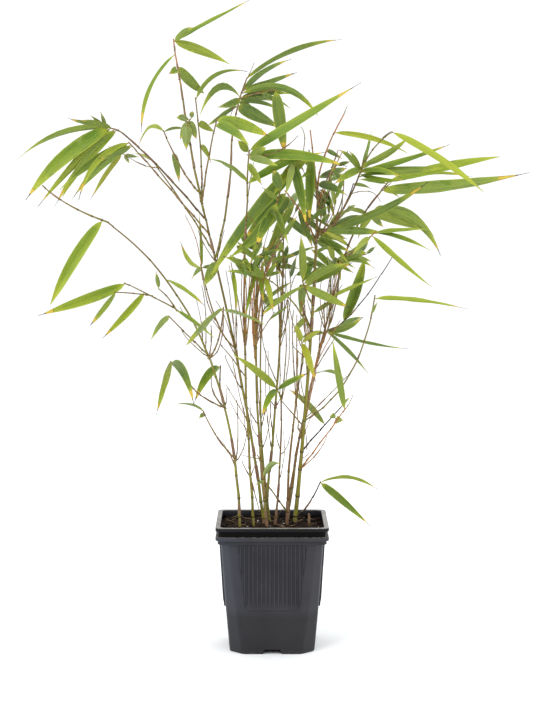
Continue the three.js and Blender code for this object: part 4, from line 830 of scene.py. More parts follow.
class Growth:
    """Grows the clump by the source's rule: culms, boughs, then each spray's twigs and blades."""

    def __init__(self) -> None:
        """Starts on bare soil."""
        self.room = Room()
        self.limbs: dict[str, Limb] = {}
        self.twigs: dict[str, list[Limb]] = {}
        self.blades: dict[str, list[Blade]] = {}
        self.bare: list[tuple[Limb, TwigSkin]] = []
        self.loose: list[tuple[Tone, Blade]] = []

    def grow_limb(self, name: str, plan: LimbPlan) -> Limb | None:
        """Puts a limb down clear of the rest, moving its depth where it has to.

        Args:
            name: the owner's name.
            plan: its places and radii.

        Returns:
            The limb, or None where nothing is clear.
        """
        parent = self.limbs.get(plan.on)
        root = parent.bend.point(plan.at) if parent else np.array((*plan.foot, SOIL_TOP + GAP))
        for step in SIDE_STEPS:
            half = np.array(plan.half) + (0, step / 2, 0)
            tip = np.array(plan.tip) + (0, step, 0)
            start = root.copy()
            if parent:
                start += self._clear_of(parent, plan, Bend.through(root, half, tip))
            limb = Limb(Bend.through(start, half, tip), plan.r0, plan.r1)
            balls = balls_of(limb.bend, limb.radius, LIMB_STEP)
            near = 3 * (plan.r0 + 1.2)
            if not self.room.clashes(name, *balls, plan.on, start, near):
                self.room.take(name, *balls)
                return limb
        return None

    @staticmethod
    def _clear_of(parent: Limb, plan: LimbPlan, way: Bend) -> Array:
        """The step from the parent's axis to where the new limb starts clear of it."""
        onward = parent.bend.tangent(plan.at)
        if plan.at == 1:
            return onward * GAP
        heading = way.tangent(0)
        radius = parent.radius(plan.at)
        cosine = abs(float(heading @ onward))
        sine = max(0.3, math.sqrt(1 - cosine * cosine))
        return heading * (radius + GAP + plan.r0 * cosine) / sine

    @staticmethod
    def lay_blade(root: Array, row: tuple[float, ...], seed: int, k: int, turn: float) -> Blade | None:
        """Lays a blade out from its root.

        Its chord points along the clock angle and turns into the depth until its reach is what
        shows of its grown length; its flat side turns until its breadth is what shows.

        Args:
            root: where it leaves its twig.
            row: clock angle, reach, breadth and, for some, the arch.
            seed: the spray's seed.
            k: the blade's number in its spray.
            turn: an extra turn into the depth, in degrees.

        Returns:
            The blade, or None where it would be too steep or too long.
        """
        clock, reach, breadth = row[:3]
        grown = max(reach * GROWN_MORE, GROWN_LEAST + GROWN_SPREAD * chance(seed, k))
        steep = min(math.radians(STEEPEST), math.acos(reach / grown))
        towards = 1 if chance(seed, k + TOWARDS_CHOICE) - 0.5 + root[1] / CROWN_DEPTH > 0 else -1
        depth = towards * steep + math.radians(turn)
        length = reach / math.cos(depth)
        if abs(depth) > math.radians(STEEPEST + STEEPER) or length > LONGEST:
            return None
        angle = math.radians(clock)
        chord = np.array(
            (math.cos(angle) * math.cos(depth), math.sin(depth), math.sin(angle) * math.cos(depth))
        )
        arch = unit(UP - chord * chord[2])
        bow = (row[3] if len(row) > 3 else BLADE_BOW * 2 * chance(seed, k + BOW_CHOICE)) * length
        tip = root + chord * length
        bend = Bend.through(root, (root + tip) / 2 + arch * bow, tip)
        slim = SLIM_LEAST + SLIM_SPREAD * chance(seed, k + SLIM_CHOICE)
        wide = max(breadth, BLADE_SLIM * length * slim)
        seen = math.acos(min(1, breadth / wide))
        in_front = unit(np.cross(chord, DEEP))
        into_depth = unit(np.cross(in_front, chord))
        sign = -1 if in_front[0] * into_depth[2] > 0 else 1
        across = in_front * math.cos(seen) + into_depth * math.sin(seen) * sign
        return Blade(bend, across, length, wide, lambda n: chance(seed * 7 + 3, k * 11 + n))

    def grow_spray(self, name: str, plan: SprayPlan, seed: int) -> None:
        """Grows one spray: its stem, its side twigs, then a blade for each row that finds room."""
        stem = plan.twigs[0]
        main = self.grow_limb(name, LimbPlan(plan.on, plan.at, stem.half, stem.tip, *STEM_RADII))
        if main is None:
            return
        twigs, roots = [], []
        for twig in plan.twigs:
            limb = main
            if twig.at is not None:
                start = main.bend.point(twig.at)
                limb = Limb(Bend.through(start, np.array(twig.half), np.array(twig.tip)), *SIDE_RADII)
                balls = balls_of(limb.bend, limb.radius, LIMB_STEP)
                if self.room.clashes(name, *balls):
                    continue
                self.room.take(name, *balls)
            twigs.append(limb)
            roots += [(limb.bend.point(blade.place), blade) for blade in twig.blades]
        self.twigs[name], self.blades[name] = twigs, []
        for k, (root, blade_plan) in enumerate(roots):
            self._fit_blade(name, root, blade_plan, seed, k)

    def _fit_blade(self, name: str, root: Array, plan: BladePlan, seed: int, k: int) -> None:
        """Keeps the first turn of a blade that is clear of the other pieces."""
        for turn in SIDE_LOOKS:
            blade = self.lay_blade(root, plan.row, seed, k, turn)
            if blade is None:
                continue
            half = blade.wide / 2
            radius_at = lambda t: np.where(t == 0, BLADE_STALK, half * blade_outline(t))
            balls = balls_of(blade.bend, radius_at, BLADE_STEP)
            if not self.room.clashes(name, *balls):
                self.room.take(name, *balls)
                blade.marks = plan.marks
                self.blades[name].append(blade)
                return

    def grow(self) -> None:
        """Grows every culm and bough, then every spray, and between them the fine growth."""
        for name, plan in {**CULMS, **BOUGHS}.items():
            self.limbs[name] = self.grow_limb(name, plan)
        for seed, (name, plan) in enumerate(SPRAYS.items()):
            self.grow_spray(name, plan, seed + 1)
        self._grow_bare()
        self._grow_young()
        self._grow_free()

    def _parent(self, on: str) -> Limb | None:
        """The limb, twig of a spray (spray/n) or bare twig (bare/n) of that name, where it has grown."""
        name, _, number = on.partition("/")
        fine = [limb for limb, _ in self.bare] if name == "bare" else self.twigs.get(name, [])
        found = [self.limbs[name]] if name in self.limbs else fine[int(number or 0):]
        return found[0] if found else None

    def _grow_bare(self) -> None:
        """Grows the fine bare twigs."""
        for plan in BARE_TWIGS:
            parent = self._parent(plan.on)
            if parent:
                bend = Bend.through(parent.bend.point(plan.at), np.array(plan.half), np.array(plan.tip))
                self.bare.append((Limb(bend, plan.radius, FINE_TAPER * plan.radius), plan.skin))

    def _grow_young(self) -> None:
        """Gives most fine twigs of the crown two young leaves, laid out by the same rule near the tip."""
        (low, high), (left, right) = YOUNG_HEIGHTS, YOUNG_SIDES
        for k, (limb, _) in enumerate(self.bare):
            for seed, at in YOUNG_SEEDS.items():
                root, way = limb.bend.point(at), limb.bend.tangent(1.0)
                if not (low < root[2] < high and left < root[0] < right) or chance(seed, k) < YOUNG_LEFT_OUT:
                    continue
                clock = math.degrees(math.atan2(way[2], way[0])) + YOUNG_FAN * (chance(seed + 1, k) - 0.5)
                reach = YOUNG_REACH[0] + YOUNG_REACH[1] * chance(seed + 2, k)
                row = (clock, reach, YOUNG_BREADTH[0] + YOUNG_BREADTH[1] * chance(seed + 3, k))
                blade = self.lay_blade(root, row, seed, k, 0)
                if blade:
                    self.loose.append((Tone.DEEP if blade.luck(30) < 0.45 else Tone.FRESH, blade))

    def _grow_free(self) -> None:
        """Lays out the single leaves by the same rule, each from its place on its limb."""
        for k, plan in enumerate(FREE_LEAVES):
            blade = self.lay_blade(self._parent(plan.on).bend.point(plan.at), plan.row, FREE_SEED, k, 0)
            if blade:
                self.loose.append((plan.tone, blade))


# ---- shader work ----


class Bench:
    """Places and joins the nodes of one shader tree."""

    def __init__(self, tree: bpy.types.NodeTree) -> None:
        """Starts with an empty tree."""
        self.tree = tree
        self.tree.nodes.clear()

    def node(self, kind: str, **settings: object) -> bpy.types.Node:
        """A new node of a kind, with its settings."""
        made = self.tree.nodes.new(kind)
        for key, value in settings.items():
            setattr(made, key, value)
        return made

    def feed(self, socket: Socket, value: object) -> None:
        """Links a socket to another one, or sets its own value."""
        if isinstance(value, Socket):
            self.tree.links.new(value, socket)
        elif isinstance(value, tuple) and len(value) == 3 and socket.type == "RGBA":
            socket.default_value = (*value, 1.0)
        else:
            socket.default_value = value

    def math(self, operation: str, first: object, second: object = 0.0) -> Socket:
        """The result of a sum on two values."""
        made = self.node("ShaderNodeMath", operation=operation)
        self.feed(made.inputs[0], first)
        self.feed(made.inputs[1], second)
        return made.outputs[0]

    def times(self, first: object, second: object) -> Socket:
        """One value times the other."""
        return self.math("MULTIPLY", first, second)

    def plus(self, first: object, second: object) -> Socket:
        """One value and the other."""
        return self.math("ADD", first, second)

    def most(self, first: object, second: object) -> Socket:
        """The larger of two values."""
        return self.math("MAXIMUM", first, second)

    def blend(self, share: object, first: object, second: object) -> Socket:
        """The colour between two by a share."""
        made = self.node("ShaderNodeMix", data_type="RGBA")
        for index, value in ((0, share), (6, first), (7, second)):
            self.feed(made.inputs[index], value)
        return made.outputs[2]

    def remap(
        self, value: object, low: float, high: float, bottom: float = 0.0, top: float = 1.0,
    ) -> Socket:
        """The value's place between low and high, as one between bottom and top, held at both."""
        made = self.node("ShaderNodeMapRange", clamp=True)
        for index, number in enumerate((value, low, high, bottom, top)):
            self.feed(made.inputs[index], number)
        return made.outputs[0]

    def mark(self, name: str) -> Socket:
        """A mark of the mesh, as a number."""
        return self.node("ShaderNodeAttribute", attribute_name=name).outputs["Fac"]

    def place(self) -> Socket:
        """The object's own coordinates, in metres."""
        return self.node("ShaderNodeTexCoord").outputs["Object"]

    def facing_up(self, low: float) -> Socket:
        """How far a face looks up: its normal's height, from 0 at low to 1 where it is nearly level."""
        normal = self.node("ShaderNodeSeparateXYZ")
        self.feed(normal.inputs[0], self.node("ShaderNodeNewGeometry").outputs["Normal"])
        return self.remap(normal.outputs[2], low, 0.95)

    def noise(self, scale: object, detail: float = 2.0, vector: object = None) -> Socket:
        """A soft noise from 0 to 1."""
        made = self.node("ShaderNodeTexNoise")
        self.feed(made.inputs["Vector"], self.place() if vector is None else vector)
        self.feed(made.inputs["Scale"], scale)
        made.inputs["Detail"].default_value = detail
        return made.outputs["Fac"]

    def effect(self, group: bpy.types.NodeTree, **values: object) -> bpy.types.Node:
        """A shared effect, its inputs by name with _ for a space."""
        made = self.node("ShaderNodeGroup", node_tree=group)
        for key, value in values.items():
            self.feed(made.inputs[key.replace("_", " ")], value)
        return made


COLOUR, NUMBER = "NodeSocketColor", "NodeSocketFloat"


class Effects:
    """The effects that several finishes share, each a node group with named inputs and outputs."""

    def __init__(self) -> None:
        """Builds every group once."""
        self.mottle = self._mottle()
        self.streaks = self._streaks()
        self.dust = self._dust()

    @staticmethod
    def _start(name: str, inputs: dict[str, str], outputs: dict[str, str]) -> tuple[Bench, dict, bpy.types.Node]:
        """A new group with its sockets.

        Args:
            name: the group's name.
            inputs: the kind of each named input.
            outputs: the kind of each named output.

        Returns:
            The bench of its tree, the input sockets by name, and the output node.
        """
        group = bpy.data.node_groups.new(name, "ShaderNodeTree")
        for label, kind in inputs.items():
            group.interface.new_socket(label, in_out="INPUT", socket_type=kind)
        for label, kind in outputs.items():
            group.interface.new_socket(label, in_out="OUTPUT", socket_type=kind)
        bench = Bench(group)
        return bench, bench.node("NodeGroupInput").outputs, bench.node("NodeGroupOutput")

    def _mottle(self) -> bpy.types.NodeTree:
        """Two colours in soft patches: noise at the scale, stretched round its middle."""
        bench, given, out = self._start(
            "mottle", {"First": COLOUR, "Second": COLOUR, "Scale": NUMBER, "Share": NUMBER},
            {"Colour": COLOUR, "Mask": NUMBER},
        )
        patches = bench.remap(bench.noise(given["Scale"], 4.0), 0.35, 0.65)
        share = bench.times(patches, given["Share"])
        bench.feed(out.inputs["Colour"], bench.blend(share, given["First"], given["Second"]))
        bench.feed(out.inputs["Mask"], patches)
        return bench.tree

    def _streaks(self) -> bpy.types.NodeTree:
        """Fibres along a leaf or cane: a wave across it by their count, and a long thin noise."""
        bench, given, out = self._start(
            "fibre streaks", dict.fromkeys(("Across", "Along", "Count"), NUMBER),
            dict.fromkeys(("Lines", "Grain"), NUMBER),
        )
        turned = bench.times(given["Across"], given["Count"])
        wave = bench.math("SINE", bench.times(turned, 2 * math.pi))
        bench.feed(out.inputs["Lines"], bench.remap(wave, -1.0, 1.0))
        spread = bench.node("ShaderNodeCombineXYZ")
        bench.feed(spread.inputs[0], bench.times(given["Across"], given["Count"]))
        bench.feed(spread.inputs[1], bench.times(given["Along"], 3.0))
        bench.feed(out.inputs["Grain"], bench.remap(bench.noise(2.0, 3.0, spread.outputs[0]), 0.3, 0.7))
        return bench.tree

    def _dust(self) -> bpy.types.NodeTree:
        """Fine dry dust on what faces up: the upward share times a patchy noise."""
        bench, given, out = self._start(
            "dust", {"Colour": COLOUR, "Dust": COLOUR, "Facing up": NUMBER, "Amount": NUMBER},
            {"Colour": COLOUR, "Mask": NUMBER},
        )
        patches = bench.remap(bench.noise(260.0, 5.0), 0.38, 0.7)
        mask = bench.times(bench.times(patches, given["Facing up"]), given["Amount"])
        bench.feed(out.inputs["Colour"], bench.blend(mask, given["Colour"], given["Dust"]))
        bench.feed(out.inputs["Mask"], mask)
        return bench.tree


@dataclass(frozen=True)
class Finish:
    """What every finish has: a name, its main colour, and how rough it is."""

    name: str
    colour: tuple[float, float, float]
    rough: float = 0.5
    gloss: float = 0.25

    def build(self, effects: Effects) -> Material:
        """Makes the material: a Principled shader dressed by the finish.

        Args:
            effects: the shared node groups.

        Returns:
            The new material.
        """
        material = bpy.data.materials.new(self.name)
        material.use_nodes = True
        bench = Bench(material.node_tree)
        shader = bench.node("ShaderNodeBsdfPrincipled")
        out = bench.node("ShaderNodeOutputMaterial")
        bench.feed(out.inputs["Surface"], shader.outputs[0])
        shader.inputs["Roughness"].default_value = self.rough
        shader.inputs["Specular IOR Level"].default_value = self.gloss
        self.dress(bench, shader, effects)
        material.diffuse_color = (*self.colour, 1)
        return material

    def dress(self, bench: Bench, shader: bpy.types.Node, effects: Effects) -> None:
        """Gives the shader its colour, roughness and relief."""
        raise NotImplementedError

    @staticmethod
    def relief(bench: Bench, shader: bpy.types.Node, height: object, strength: float, depth: float) -> None:
        """Feeds a height into the shader's normal; depth is in metres."""
        bump = bench.node("ShaderNodeBump")
        bump.inputs["Strength"].default_value = strength
        bump.inputs["Distance"].default_value = depth
        bench.feed(bump.inputs["Height"], height)
        bench.feed(shader.inputs["Normal"], bump.outputs[0])


@dataclass(frozen=True)
class LeafFinish(Finish):
    """A bamboo leaf's side: long veins, a pale rib, yellowing margins and tip, and a yellow foot."""

    second: tuple[float, float, float] = (0.2, 0.3, 0.05)
    margin: tuple[float, float, float] = (0.36, 0.4, 0.035)
    vein: float = 0.26

    def dress(self, bench: Bench, shader: bpy.types.Node, effects: Effects) -> None:
        """The green goes between two tones leaf by leaf, partly by each leaf's own tone and partly by painted light
        that makes leaves farther out lighter; ripe leaves, margins, rib and tip are yellower.
        """
        across, along = bench.mark("across"), bench.mark("along")
        half = bench.remap(across, 0.1, 0.95, -0.1, 0.35)
        onward = bench.remap(along, 0.1, 1.0, -0.15, 0.3)
        share = bench.plus(bench.times(bench.mark("shade"), 0.75), bench.plus(half, onward))
        tone = bench.blend(share, self.colour, self.second)
        ripe = bench.times(bench.mark("ripe"), 0.55)
        ripened = bench.blend(ripe, tone, self.margin)
        patches = bench.effect(effects.mottle, First=ripened, Second=self.margin, Scale=45.0, Share=0.16)
        fibres = bench.effect(effects.streaks, Across=across, Along=along, Count=5.0)
        dark = bench.node("ShaderNodeHueSaturation")
        bench.feed(dark.inputs["Color"], patches.outputs["Colour"])
        bench.feed(dark.inputs["Value"], bench.remap(fibres.outputs["Grain"], 0.0, 1.0, 1 - self.vein, 1 + self.vein))
        width = bench.math("ABSOLUTE", across)
        edge = bench.remap(width, 0.8, 0.97, 0.0, 0.6)
        rib = bench.remap(width, 0.02, 0.09, 0.3, 0.0)
        foot = bench.remap(along, 0.03, 0.12, 0.9, 0.0)
        spread = bench.plus(along, bench.times(bench.noise(120.0), 0.25))
        tip = bench.remap(spread, 0.8, 1.0, 0.0, 0.9)
        light = bench.most(bench.most(edge, rib), bench.most(foot, tip))
        bench.feed(shader.inputs["Base Color"], bench.blend(light, dark.outputs[0], self.margin))
        self.relief(bench, shader, fibres.outputs["Lines"], 0.35, 0.00025)


@dataclass(frozen=True)
class DryFinish(Finish):
    """Papery dry growth: sheaths, leaf stalks and leaf tips, streaked along the grain."""

    second: tuple[float, float, float] = (0.3, 0.15, 0.05)

    def dress(self, bench: Bench, shader: bpy.types.Node, effects: Effects) -> None:
        """Straw goes into brown in streaks along the growth."""
        fibres = bench.effect(effects.streaks, Across=bench.mark("across"), Along=bench.mark("along"), Count=5.0)
        share = bench.times(fibres.outputs["Grain"], bench.mark("shade"))
        patches = bench.effect(effects.mottle, First=self.colour, Second=self.second, Scale=240.0, Share=0.5)
        bench.feed(shader.inputs["Base Color"], bench.blend(share, patches.outputs["Colour"], self.second))
        self.relief(bench, shader, fibres.outputs["Lines"], 0.4, 0.0002)


@dataclass(frozen=True)
class CaneFinish(Finish):
    """A cane's skin: waxy between the joints, dark at each joint's scar with pale bloom under it, and darkened
    towards its outline by painted shade.
    """

    aged: tuple[float, float, float] = (0.1, 0.05, 0.02)
    scar: tuple[float, float, float] = (0.03, 0.017, 0.008)
    bloom: tuple[float, float, float] = (0.24, 0.21, 0.09)
    # painted shade: the next number is how far the skin is darkened towards its outline, where it turns away from the
    # eye
    edge_shade: float = 0.8  # how much the skin darkens where it turns away

    def dress(self, bench: Bench, shader: bpy.types.Node, effects: Effects) -> None:
        """The skin goes into its aged colour along the cane, with streaks, scars, bloom and painted shade towards its
        outline.
        """
        fibres = bench.effect(effects.streaks, Across=bench.mark("across"), Along=bench.mark("along"), Count=7.0)
        tone = bench.blend(bench.mark("shade"), self.colour, self.aged)
        patches = bench.effect(effects.mottle, First=tone, Second=self.aged, Scale=110.0, Share=0.55)
        grain = bench.times(fibres.outputs["Grain"], 0.4)
        streaked = bench.blend(grain, patches.outputs["Colour"], self.aged)
        waxed = bench.blend(bench.times(bench.mark("bloom"), 0.6), streaked, self.bloom)
        jointed = bench.blend(bench.mark("joint"), waxed, self.scar)
        # painted shade: the scar colour laid over the skin where it turns away from the eye
        facing = bench.node("ShaderNodeLayerWeight")
        facing.inputs[0].default_value = 0.5
        turned = bench.remap(facing.outputs["Facing"], 0.2, 0.8, 0.0, self.edge_shade)
        bench.feed(shader.inputs["Base Color"], bench.blend(turned, jointed, self.scar))
        rough = bench.remap(patches.outputs["Mask"], 0.0, 1.0, self.rough - 0.08, self.rough + 0.12)
        bench.feed(shader.inputs["Roughness"], rough)
        self.relief(bench, shader, fibres.outputs["Grain"], 0.25, 0.0002)


@dataclass(frozen=True)
class PotFinish(Finish):
    """Moulded black plastic: satin, a little cloudy, scuffed along its edges, with painted shade in its grooves,
    inside and low down, and a painted bluish reflection on its left side.
    """

    cloud: tuple[float, float, float] = (0.03, 0.029, 0.036)
    # deep is the colour of the painted shade; sheen, the last colour, is that of the painted bluish reflection
    deep: tuple[float, float, float] = (0.004, 0.0035, 0.003)
    worn: tuple[float, float, float] = (0.16, 0.145, 0.13)
    dust: tuple[float, float, float] = (0.26, 0.24, 0.215)
    painted_sheen: tuple[float, float, float] = (0.026, 0.032, 0.048)

    def dress(self, bench: Bench, shader: bpy.types.Node, effects: Effects) -> None:
        """Cloudy plastic with a painted bluish reflection on its left side, painted shade low down, at the foot, in
        grooves and inside, worn edges, dust on what faces up.
        """
        cloud = bench.effect(effects.mottle, First=self.colour, Second=self.cloud, Scale=30.0, Share=0.8)
        spot = bench.node("ShaderNodeSeparateXYZ")
        bench.feed(spot.inputs[0], bench.place())
        # painted reflection: the pot's left side goes towards a lighter bluish colour
        painted_sheen_share = bench.remap(spot.outputs[0], -0.02, -0.05, 0.0, 0.55)
        with_painted_sheen = bench.blend(painted_sheen_share, cloud.outputs["Colour"], self.painted_sheen)
        # painted shade: darker towards the bottom, and darkest at the foot
        low = bench.remap(spot.outputs[2], 0.044, 0.036, 0.0, 0.55)
        foot = bench.remap(spot.outputs[2], 0.0045, 0.0, 0.0, 0.85)
        shaded = bench.blend(bench.most(low, foot), with_painted_sheen, self.deep)
        # painted shade from the deep mark: in grooves, under the lip bands and down the inside
        with_painted_recess_shade = bench.blend(bench.mark("deep"), shaded, self.deep)
        scuffs = bench.remap(bench.noise(420.0, 5.0), 0.42, 0.6)
        wear = bench.times(bench.mark("edge"), bench.remap(scuffs, 0.0, 1.0, 0.3, 1.0))
        facing = bench.facing_up(0.6)
        # the lip's top face, where it faces up, is also lightened to the worn colour
        lip = bench.times(facing, bench.remap(spot.outputs[2], 0.122, 0.1235, 0.0, 0.85))
        worn = bench.blend(bench.most(wear, lip), with_painted_recess_shade, self.worn)
        dusty = bench.effect(effects.dust, Colour=worn, Dust=self.dust, Facing_up=facing, Amount=0.9)
        bench.feed(shader.inputs["Base Color"], dusty.outputs["Colour"])
        # where the deep mark paints shade, the specular is taken away too, so those places go black
        matt = bench.remap(bench.mark("deep"), 0.0, 1.0, self.gloss, 0.02)
        bench.feed(shader.inputs["Specular IOR Level"], matt)
        rough = bench.remap(cloud.outputs["Mask"], 0.0, 1.0, self.rough - 0.05, self.rough + 0.08)
        bench.feed(shader.inputs["Roughness"], bench.plus(rough, bench.times(wear, 0.2)))
        self.relief(bench, shader, bench.noise(1500.0, 2.0), 0.12, 0.0002)


@dataclass(frozen=True)
class EarthFinish(Finish):
    """Peat and the bits in it: two dark browns in patches, dry and pale on top."""

    second: tuple[float, float, float] = (0.02, 0.012, 0.008)
    dry: tuple[float, float, float] = (0.1, 0.062, 0.04)
    dryness: float = 0.35

    def dress(self, bench: Bench, shader: bpy.types.Node, effects: Effects) -> None:
        """Dark and lighter crumbs, dusted where they face up."""
        crumbs = bench.effect(effects.mottle, First=self.colour, Second=self.second, Scale=330.0, Share=1.0)
        facing, crumb = bench.facing_up(0.3), crumbs.outputs["Colour"]
        dusty = bench.effect(effects.dust, Colour=crumb, Dust=self.dry, Facing_up=facing, Amount=self.dryness)
        bench.feed(shader.inputs["Base Color"], dusty.outputs["Colour"])
        self.relief(bench, shader, bench.noise(900.0, 4.0), 0.8, 0.0006)


@dataclass(frozen=True)
class FloorFinish(Finish):
    """A plain pale studio floor with a faint paper tooth."""

    def dress(self, bench: Bench, shader: bpy.types.Node, effects: Effects) -> None:
        """One pale colour with a breath of mottling."""
        paper = bench.effect(effects.mottle, First=self.colour, Second=(0.965, 0.975, 0.99), Scale=6.0, Share=0.3)
        bench.feed(shader.inputs["Base Color"], paper.outputs["Colour"])
        shader.inputs["IOR"].default_value = 1.0


# ---- pieces ----


def set_down(name: str, data: bpy.types.ID) -> bpy.types.Object:
    """A new object in the scene for a mesh, lamp or camera."""
    made = bpy.data.objects.new(name, data)
    bpy.context.scene.collection.objects.link(made)
    return made


def put_in(
    name: str, shape: Shape, finishes: Sequence[Material], sharp: float | None = None,
) -> bpy.types.Object:
    """Puts a shape into a new mesh object at the origin, in metres.

    Args:
        name: the piece's name.
        shape: its surfaces in mm.
        finishes: its materials, in the order of the faces' numbers.
        sharp: the angle in degrees past which an edge stays sharp; smooth all over without it.

    Returns:
        The object, in the scene.
    """
    mesh = bpy.data.meshes.new(name)
    mesh.vertices.add(len(shape.points))
    mesh.vertices.foreach_set("co", (shape.points * MM).astype(np.float32).ravel())
    corners = np.concatenate((shape.quads.ravel(), shape.tris.ravel())).astype(np.int32)
    sizes = np.concatenate((np.full(len(shape.quads), 4), np.full(len(shape.tris), 3)))
    starts = np.concatenate(([0], np.cumsum(sizes)[:-1])).astype(np.int32)
    mesh.loops.add(len(corners))
    mesh.loops.foreach_set("vertex_index", corners)
    mesh.polygons.add(len(sizes))
    mesh.polygons.foreach_set("loop_start", starts)
    mesh.polygons.foreach_set("material_index", shape.skins.astype(np.int32))
    mesh.polygons.foreach_set("use_smooth", np.ones(len(sizes), bool))
    mesh.update(calc_edges=True)
    for key, values in shape.marks.items():
        layer = mesh.attributes.new(key, "FLOAT", "POINT")
        layer.data.foreach_set("value", values.astype(np.float32))
    if sharp is not None:
        mesh.set_sharp_from_angle(angle=math.radians(sharp))
    for finish in finishes:
        mesh.materials.append(finish)
    return set_down(name, mesh)


def hand_over(piece: bpy.types.Object, nodes: Sequence[str] = ()) -> None:
    """Hangs a finished piece on the plant's body and hides the nodes it stands for."""
    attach(piece, "root")
    if nodes:
        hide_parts(*nodes)
    LOG.info("%s: %d faces, in place of %s", piece.name, len(piece.data.polygons), ", ".join(nodes) or "nothing")


@dataclass
class Canes:
    """The culms, boughs and twigs: tubes with the swollen joints and sheath scars of bamboo."""

    growth: Growth
    cane_sides: int = 12
    twig_sides: int = 6
    fine_sides: int = 5
    fine: float = 0.62  # twigs thinner than this at the foot are fine ones
    step: float = 7.0  # the length between the plain rings
    sunk: float = 3.0  # how far a culm reaches into the soil
    back: float = 2.5  # how far a bough reaches into its culm
    culm_joints: tuple[float, float] = (16, 52)  # the lengths between the lowest and the highest joints
    bough_joints: tuple[float, float] = (14, 26)
    twig_joints: tuple[float, float] = (9, 22)
    aged: tuple[float, float] = (0.55, 1.0)
    stub: Array = field(default_factory=lambda: np.array(((36.8, 0, 114.0), (37.0, 0, 123.0), (36.6, 0, 129.5))))
    sheaths: list[Shape] = field(default_factory=list)

    def joints(
        self, length: float, luck: Luck, born: Sequence[float], first: float, last: float,
    ) -> Array:
        """Where the joints are along a limb: growing steps from first to last, and where twigs leave.

        Args:
            length: the limb's length in mm.
            luck: its repeatable numbers.
            born: the places along it where other limbs leave.
            first: the length between the lowest joints.
            last: the length between the highest.

        Returns:
            Their distances from the foot, in order.
        """
        places, at, k = list(born), first * 0.5, 0
        while at < length - 4:
            gap = first + (last - first) * min(1, at / (0.5 * length))
            if all(abs(at - other) > 0.45 * gap for other in born):
                places.append(at)
            at += gap * (0.85 + 0.3 * luck(k))
            k += 1
        return np.array(sorted(places))

    def limb_shape(
        self, limb: Limb, joints: Array, sides: int, luck: Luck, root: float,
        aged: tuple[float, float], swell: float = 0.2, sway: float = 0.35, slim: float = 0.0,
    ) -> Shape:
        """A limb's skin, with a ridge, a groove and a swelling at each joint and a slight zigzag.

        The radius is the taper times (1 + swell of a narrow bell at the joint - a narrower bell
        under it + a broad bell over it), and every other length between joints leans the other way.

        Args:
            limb: the limb.
            joints: where its joints are, in mm along it.
            sides: corners in a ring.
            luck: its repeatable numbers.
            root: how far it is carried back from its start.
            aged: the parts of its way between which its colour ages.
            swell: how far the joints stand out, as a part of the radius.
            sway: how far the zigzag leans, in mm.
            slim: the part of the radius lost past the foot.

        Returns:
            The closed shape.
        """
        length = limb.bend.length()
        size = max(limb.r0, 0.5) ** 0.5
        near = np.array((-2.4, -1.2, -0.7, -0.3, 0.0, 0.35, 0.8, 1.4, 2.4)) * size
        rings = np.concatenate((np.arange(0, length, self.step), [length], (joints[:, None] + near).ravel()))
        along = np.unique(np.clip(rings, 0, length).round(2))
        t = along / length
        centres, tangents = limb.bend.point(t), limb.bend.tangent(t)
        across = steady_across(limb.bend)
        first, second = cross_frames(tangents, across)
        gap = along[:, None] - joints[None]
        swing = np.where(np.arange(len(joints)) % 2, sway, -sway)
        lean = np.interp(along, joints, swing, 0, 0) if len(joints) else 0 * along
        turn = 2 * math.pi * luck(91)
        centres = centres + lean[:, None] * (math.cos(turn) * first + math.sin(turn) * second)
        ridge = bell(gap, 0.45 * size).sum(1)
        scar = bell(gap + 0.75 * size, 0.3 * size).sum(1)
        body = bell(gap - 0.9 * size, 1.4 * size).sum(1)
        taper = limb.radius(t) * (1 - slim * smooth(t, 0, 0.2))
        radius = taper * (1 + swell * ridge - 0.5 * swell * scar + 0.7 * swell * body)
        centres = np.concatenate((centres[:1] - root * tangents[:1], centres))
        tangents = np.concatenate((tangents[:1], tangents))
        radius = np.concatenate((radius[:1], radius))
        marks = {
            "along": np.concatenate(([-root], along))[:, None] / 40,
            "across": np.cos(turns(sides) + luck(7) * 6)[None],
            "shade": np.concatenate(([0], smooth(t, *aged)))[:, None],
            "joint": np.concatenate(([0], np.clip(bell(gap, 0.5 * size).sum(1), 0, 1) * 0.85))[:, None],
            "bloom": np.concatenate(([0], np.clip(bell(gap + 2.2, 1.6).sum(1), 0, 1)))[:, None],
        }
        return loft(round_rings(centres, tangents, across, radius, sides), marks)

    def sheath(self, limb: Limb, start: float, reach: float, luck: Luck) -> Shape:
        """A papery sheath: a sleeve from a joint that stands a little off the limb, then closes on it.

        Its thickness over the limb rises from 0.05 to 0.26 mm and falls to 0.02 mm at its end, times 0.7 to 1.3 by
        its luck.

        Args:
            limb: what it wraps.
            start: where it starts, in mm along the limb.
            reach: its length.
            luck: its repeatable numbers.

        Returns:
            The closed shape.
        """
        length = limb.bend.length()
        u = np.array((0.0, 0.08, 0.3, 0.55, 0.8, 0.93, 1.0))
        t = np.clip((start + reach * u) / length, 0, 1)
        over = np.array((0.05, 0.2, 0.24, 0.26, 0.22, 0.16, 0.02)) * (0.7 + 0.6 * luck(3))
        across = steady_across(limb.bend)
        rings = round_rings(limb.bend.point(t), limb.bend.tangent(t), across, limb.radius(t) + over, SLEEVE_SIDES)
        return loft(rings, fibre_marks(SLEEVE_SIDES, u * reach / 20, luck(5)))

